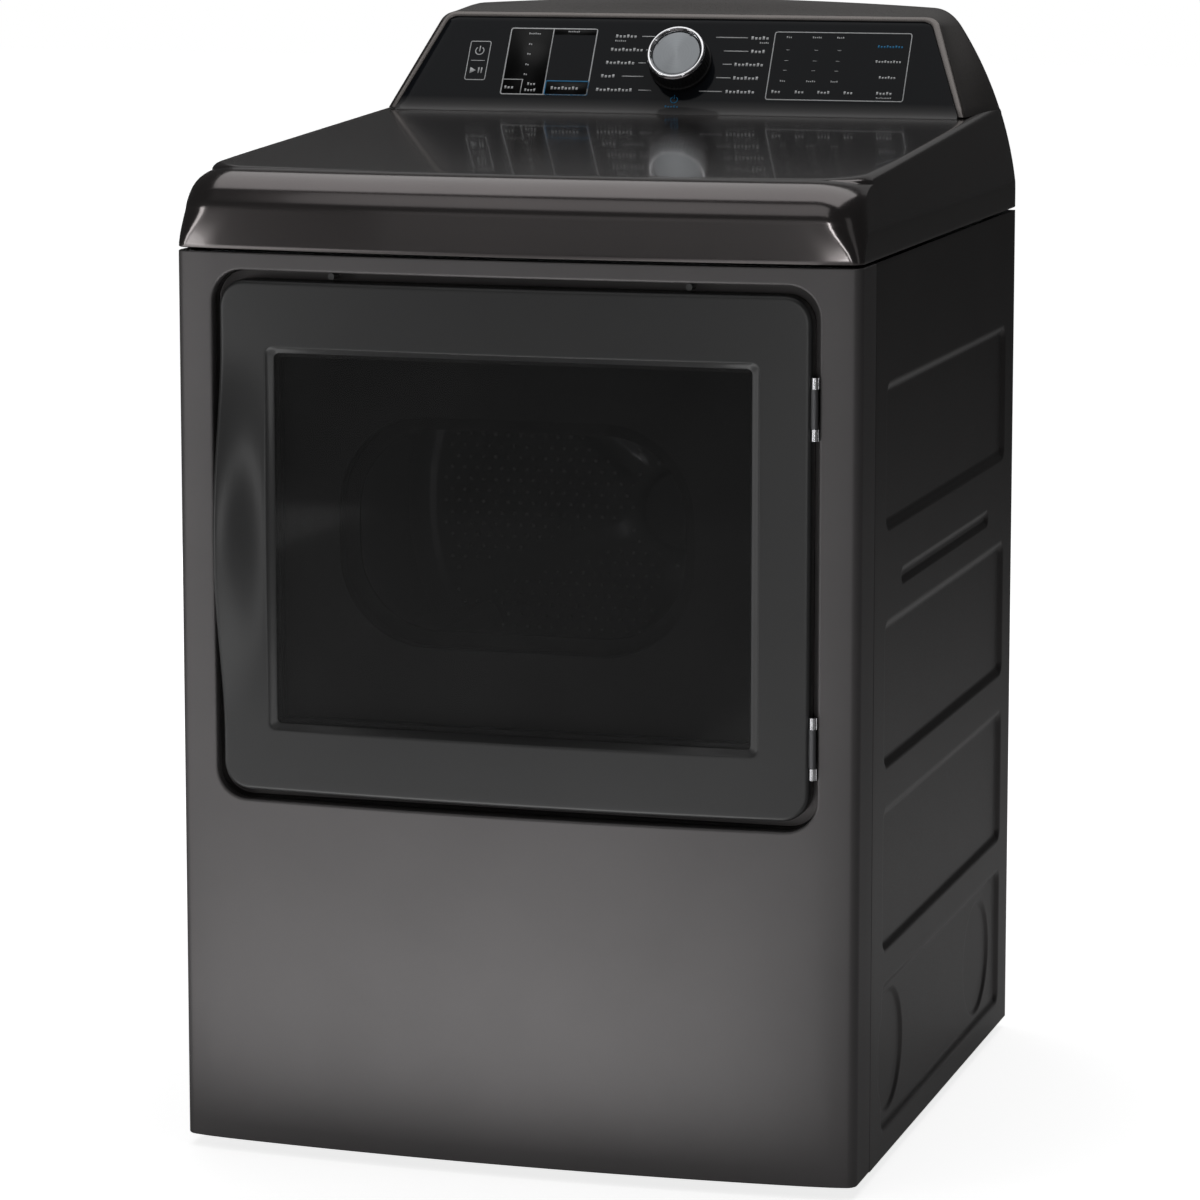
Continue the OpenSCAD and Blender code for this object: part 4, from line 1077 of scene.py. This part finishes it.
def drum_wall():
    """The drum's rear wall and its beads in staggered rows; their paleness is painted highlight.
    """
    loops = []
    radii = [1.0, 12, 30, 40, 42, 45, 48, 54] + spread(62, 276, 26)
    for r in radii + [281, 285, 289, 293, 300, DRUM_R]:
        loop = []
        for k in range(144):
            a = 2 * math.pi * k / 144
            x, z = r * math.cos(a), r * math.sin(a)
            loop.append((x, drum_wall_y(x, z), DRUM_Z + z))
        loops.append(loop)
    wall = build("drum_back_plate", *loft(loops), "drum", "drum_steel", M["drum"],
                 ["drum_rear_wall"], outside=(0.0, -1.0, 0.0))
    thicken(wall, 1.2)
    beads = []
    step = 0.866
    rows = int(278 / (PITCH * step))
    for i in range(-rows, rows + 1):
        z = i * PITCH * step
        for j in range(-20, 21):
            x = (j + 0.5 * (i % 2)) * PITCH
            if not 56 < math.hypot(x, z) < 276 or rib_at(x, z) > 0.02:
                continue
            beads.append(bead(x, z))
    build("drum_wall_beads", *join(beads), "drum", "drum_steel", M["bead"], weighted=False,
          outside=(0.0, -1.0, 0.0))


def bead(x, z, r=2.3, rise=1.5):
    """A small dome on the drum's rear wall."""
    base = drum_wall_y(x, z)
    verts = []
    for size, h in ((r, -0.2), (r, 0.2), (0.6 * r, 0.75 * rise)):
        verts += [(x + size * math.cos(k * math.pi / 4), base - h, DRUM_Z + z
                   + size * math.sin(k * math.pi / 4)) for k in range(8)]
    verts.append((x, base - rise, DRUM_Z + z))
    faces = [(q * 8 + k, q * 8 + (k + 1) % 8, q * 8 + 8 + (k + 1) % 8, q * 8 + 8 + k)
             for q in range(2) for k in range(8)]
    faces += [(16 + k, 16 + (k + 1) % 8, 24) for k in range(8)]
    faces.append(tuple(reversed(range(8))))
    return verts, faces


# ---- camera, lights and floor -------------------------------------------------------------

CAMERA_AT = (1.38024, -4.66730, 1.32000)
CAMERA_YAW, CAMERA_PITCH = 0.29087, 0.14679
LENS, SHIFT_Y = 143.21, -0.07


def camera():
    data = bpy.data.cameras.new("camera")
    cam = new_object("camera", data)
    data.sensor_width = 36.0
    data.lens = LENS
    data.shift_y = SHIFT_Y
    data.clip_end = 60.0
    flat = math.cos(CAMERA_PITCH)
    back = Vector((math.sin(CAMERA_YAW) * flat, -math.cos(CAMERA_YAW) * flat,
                   math.sin(CAMERA_PITCH)))
    look = back.to_track_quat("Z", "Y").to_matrix().to_4x4()
    cam.matrix_world = Matrix.Translation(Vector(CAMERA_AT)) @ look
    bpy.context.scene.camera = cam


# name: place, aim, width and height in metres, power in watts
LIGHTS = {
    "left_box": ((-3.0, -3.0, 0.6), (0, -0.3, 0.5), 1.0, 1.1, 14.0),
    "front_box": ((0.95, -4.9, 0.65), (0, -0.3, 0.5), 0.5, 1.0, 15.0),
    "front_wide": ((-0.9, -5.0, 1.05), (0, -0.3, 0.5), 2.4, 1.2, 2.0),
    "floor_left": ((-2.4, -2.5, 0.01), (-2.4, -2.5, 3.0), 1.6, 4.0, 27.0),
    "floor_middle": ((-1.0, -2.5, 0.01), (-1.0, -2.5, 3.0), 1.2, 4.0, 2.5),
    "floor_right": ((-0.05, -2.5, 0.01), (-0.05, -2.5, 3.0), 0.7, 4.0, 6.0),
    "floor_near": ((-0.25, -0.78, 0.01), (-0.25, -0.9, 3.0), 1.0, 0.5, 3.5),
    "over_front": ((-0.3, -2.3, 2.7), (0, -0.6, 0.6), 2.4, 1.6, 7.0),
    "over_lid": ((0.0, 0.35, 2.9), (0, 0.35, 0.9), 3.0, 2.8, 31.0),
    "over_back": ((0.0, 2.8, 2.3), (0, -0.3, 0.95), 3.4, 1.2, 2.0),
    "right_box": ((3.4, -1.4, 1.2), (0.3, 0, 0.5), 0.9, 2.4, 1.5),
    "rear_fill": ((-2.0, 3.2, 0.7), (0, 0.3, 0.6), 1.6, 1.0, 9.0),
}
WORLD = 0.03


def lights():
    """Soft boxes no camera sees, and a world that is white to the eye and faint as a light."""
    for name, (place, aim, width, height, power) in LIGHTS.items():
        light = bpy.data.lights.new(name, "AREA")
        light.shape = "RECTANGLE"
        light.size, light.size_y = width, height
        light.energy = power
        obj = new_object(name, light)
        obj.location = place
        obj.rotation_euler = (Vector(aim) - Vector(place)).to_track_quat("-Z", "Y").to_euler()
        obj.visible_camera = False
    world = bpy.data.worlds.new("studio")
    bpy.context.scene.world = world
    world.use_nodes = True
    tree = world.node_tree
    background = tree.nodes["Background"]
    background.inputs["Color"].default_value = (1, 1, 1, 1)
    seen = add_node(tree, "LightPath").outputs["Is Camera Ray"]
    tree.links.new(ramp(tree, seen, WORLD, 1.0), background.inputs["Strength"])


def stage():
    """A pale floor, bright to the eye, most so away from the dryer, and plain in reflections."""
    half = 20.0
    mesh = bpy.data.meshes.new("floor")
    mesh.from_pydata([(-half, -half, 0), (half, -half, 0), (half, half, 0), (-half, half, 0)], [],
                     [(0, 1, 2, 3)])
    floor = new_object("floor", mesh)
    mat, tree, shader = principled("floor", (0.80, 0.80, 0.80), 0.9, Emission_Color=(1, 1, 1, 1))
    both = add_node(tree, "Math")
    both.operation = "MULTIPLY"
    seen = add_node(tree, "LightPath").outputs["Is Camera Ray"]
    tree.links.new(seen, both.inputs[0])
    tree.links.new(ramp(tree, distance_from_origin(tree), 0.80, 1.0, 0.5, 1.6), both.inputs[1])
    tree.links.new(both.outputs["Value"], shader.inputs["Emission Strength"])
    floor.data.materials.append(mat)
    bpy.context.scene.view_settings.view_transform = "Standard"


camera()
lights()
stage()
dress_cad_nodes()
front_panel()
door_frame()
door_glass()
side_panels()
lid()
console()
console_window()
console_legends()
knob()
drum_wall()
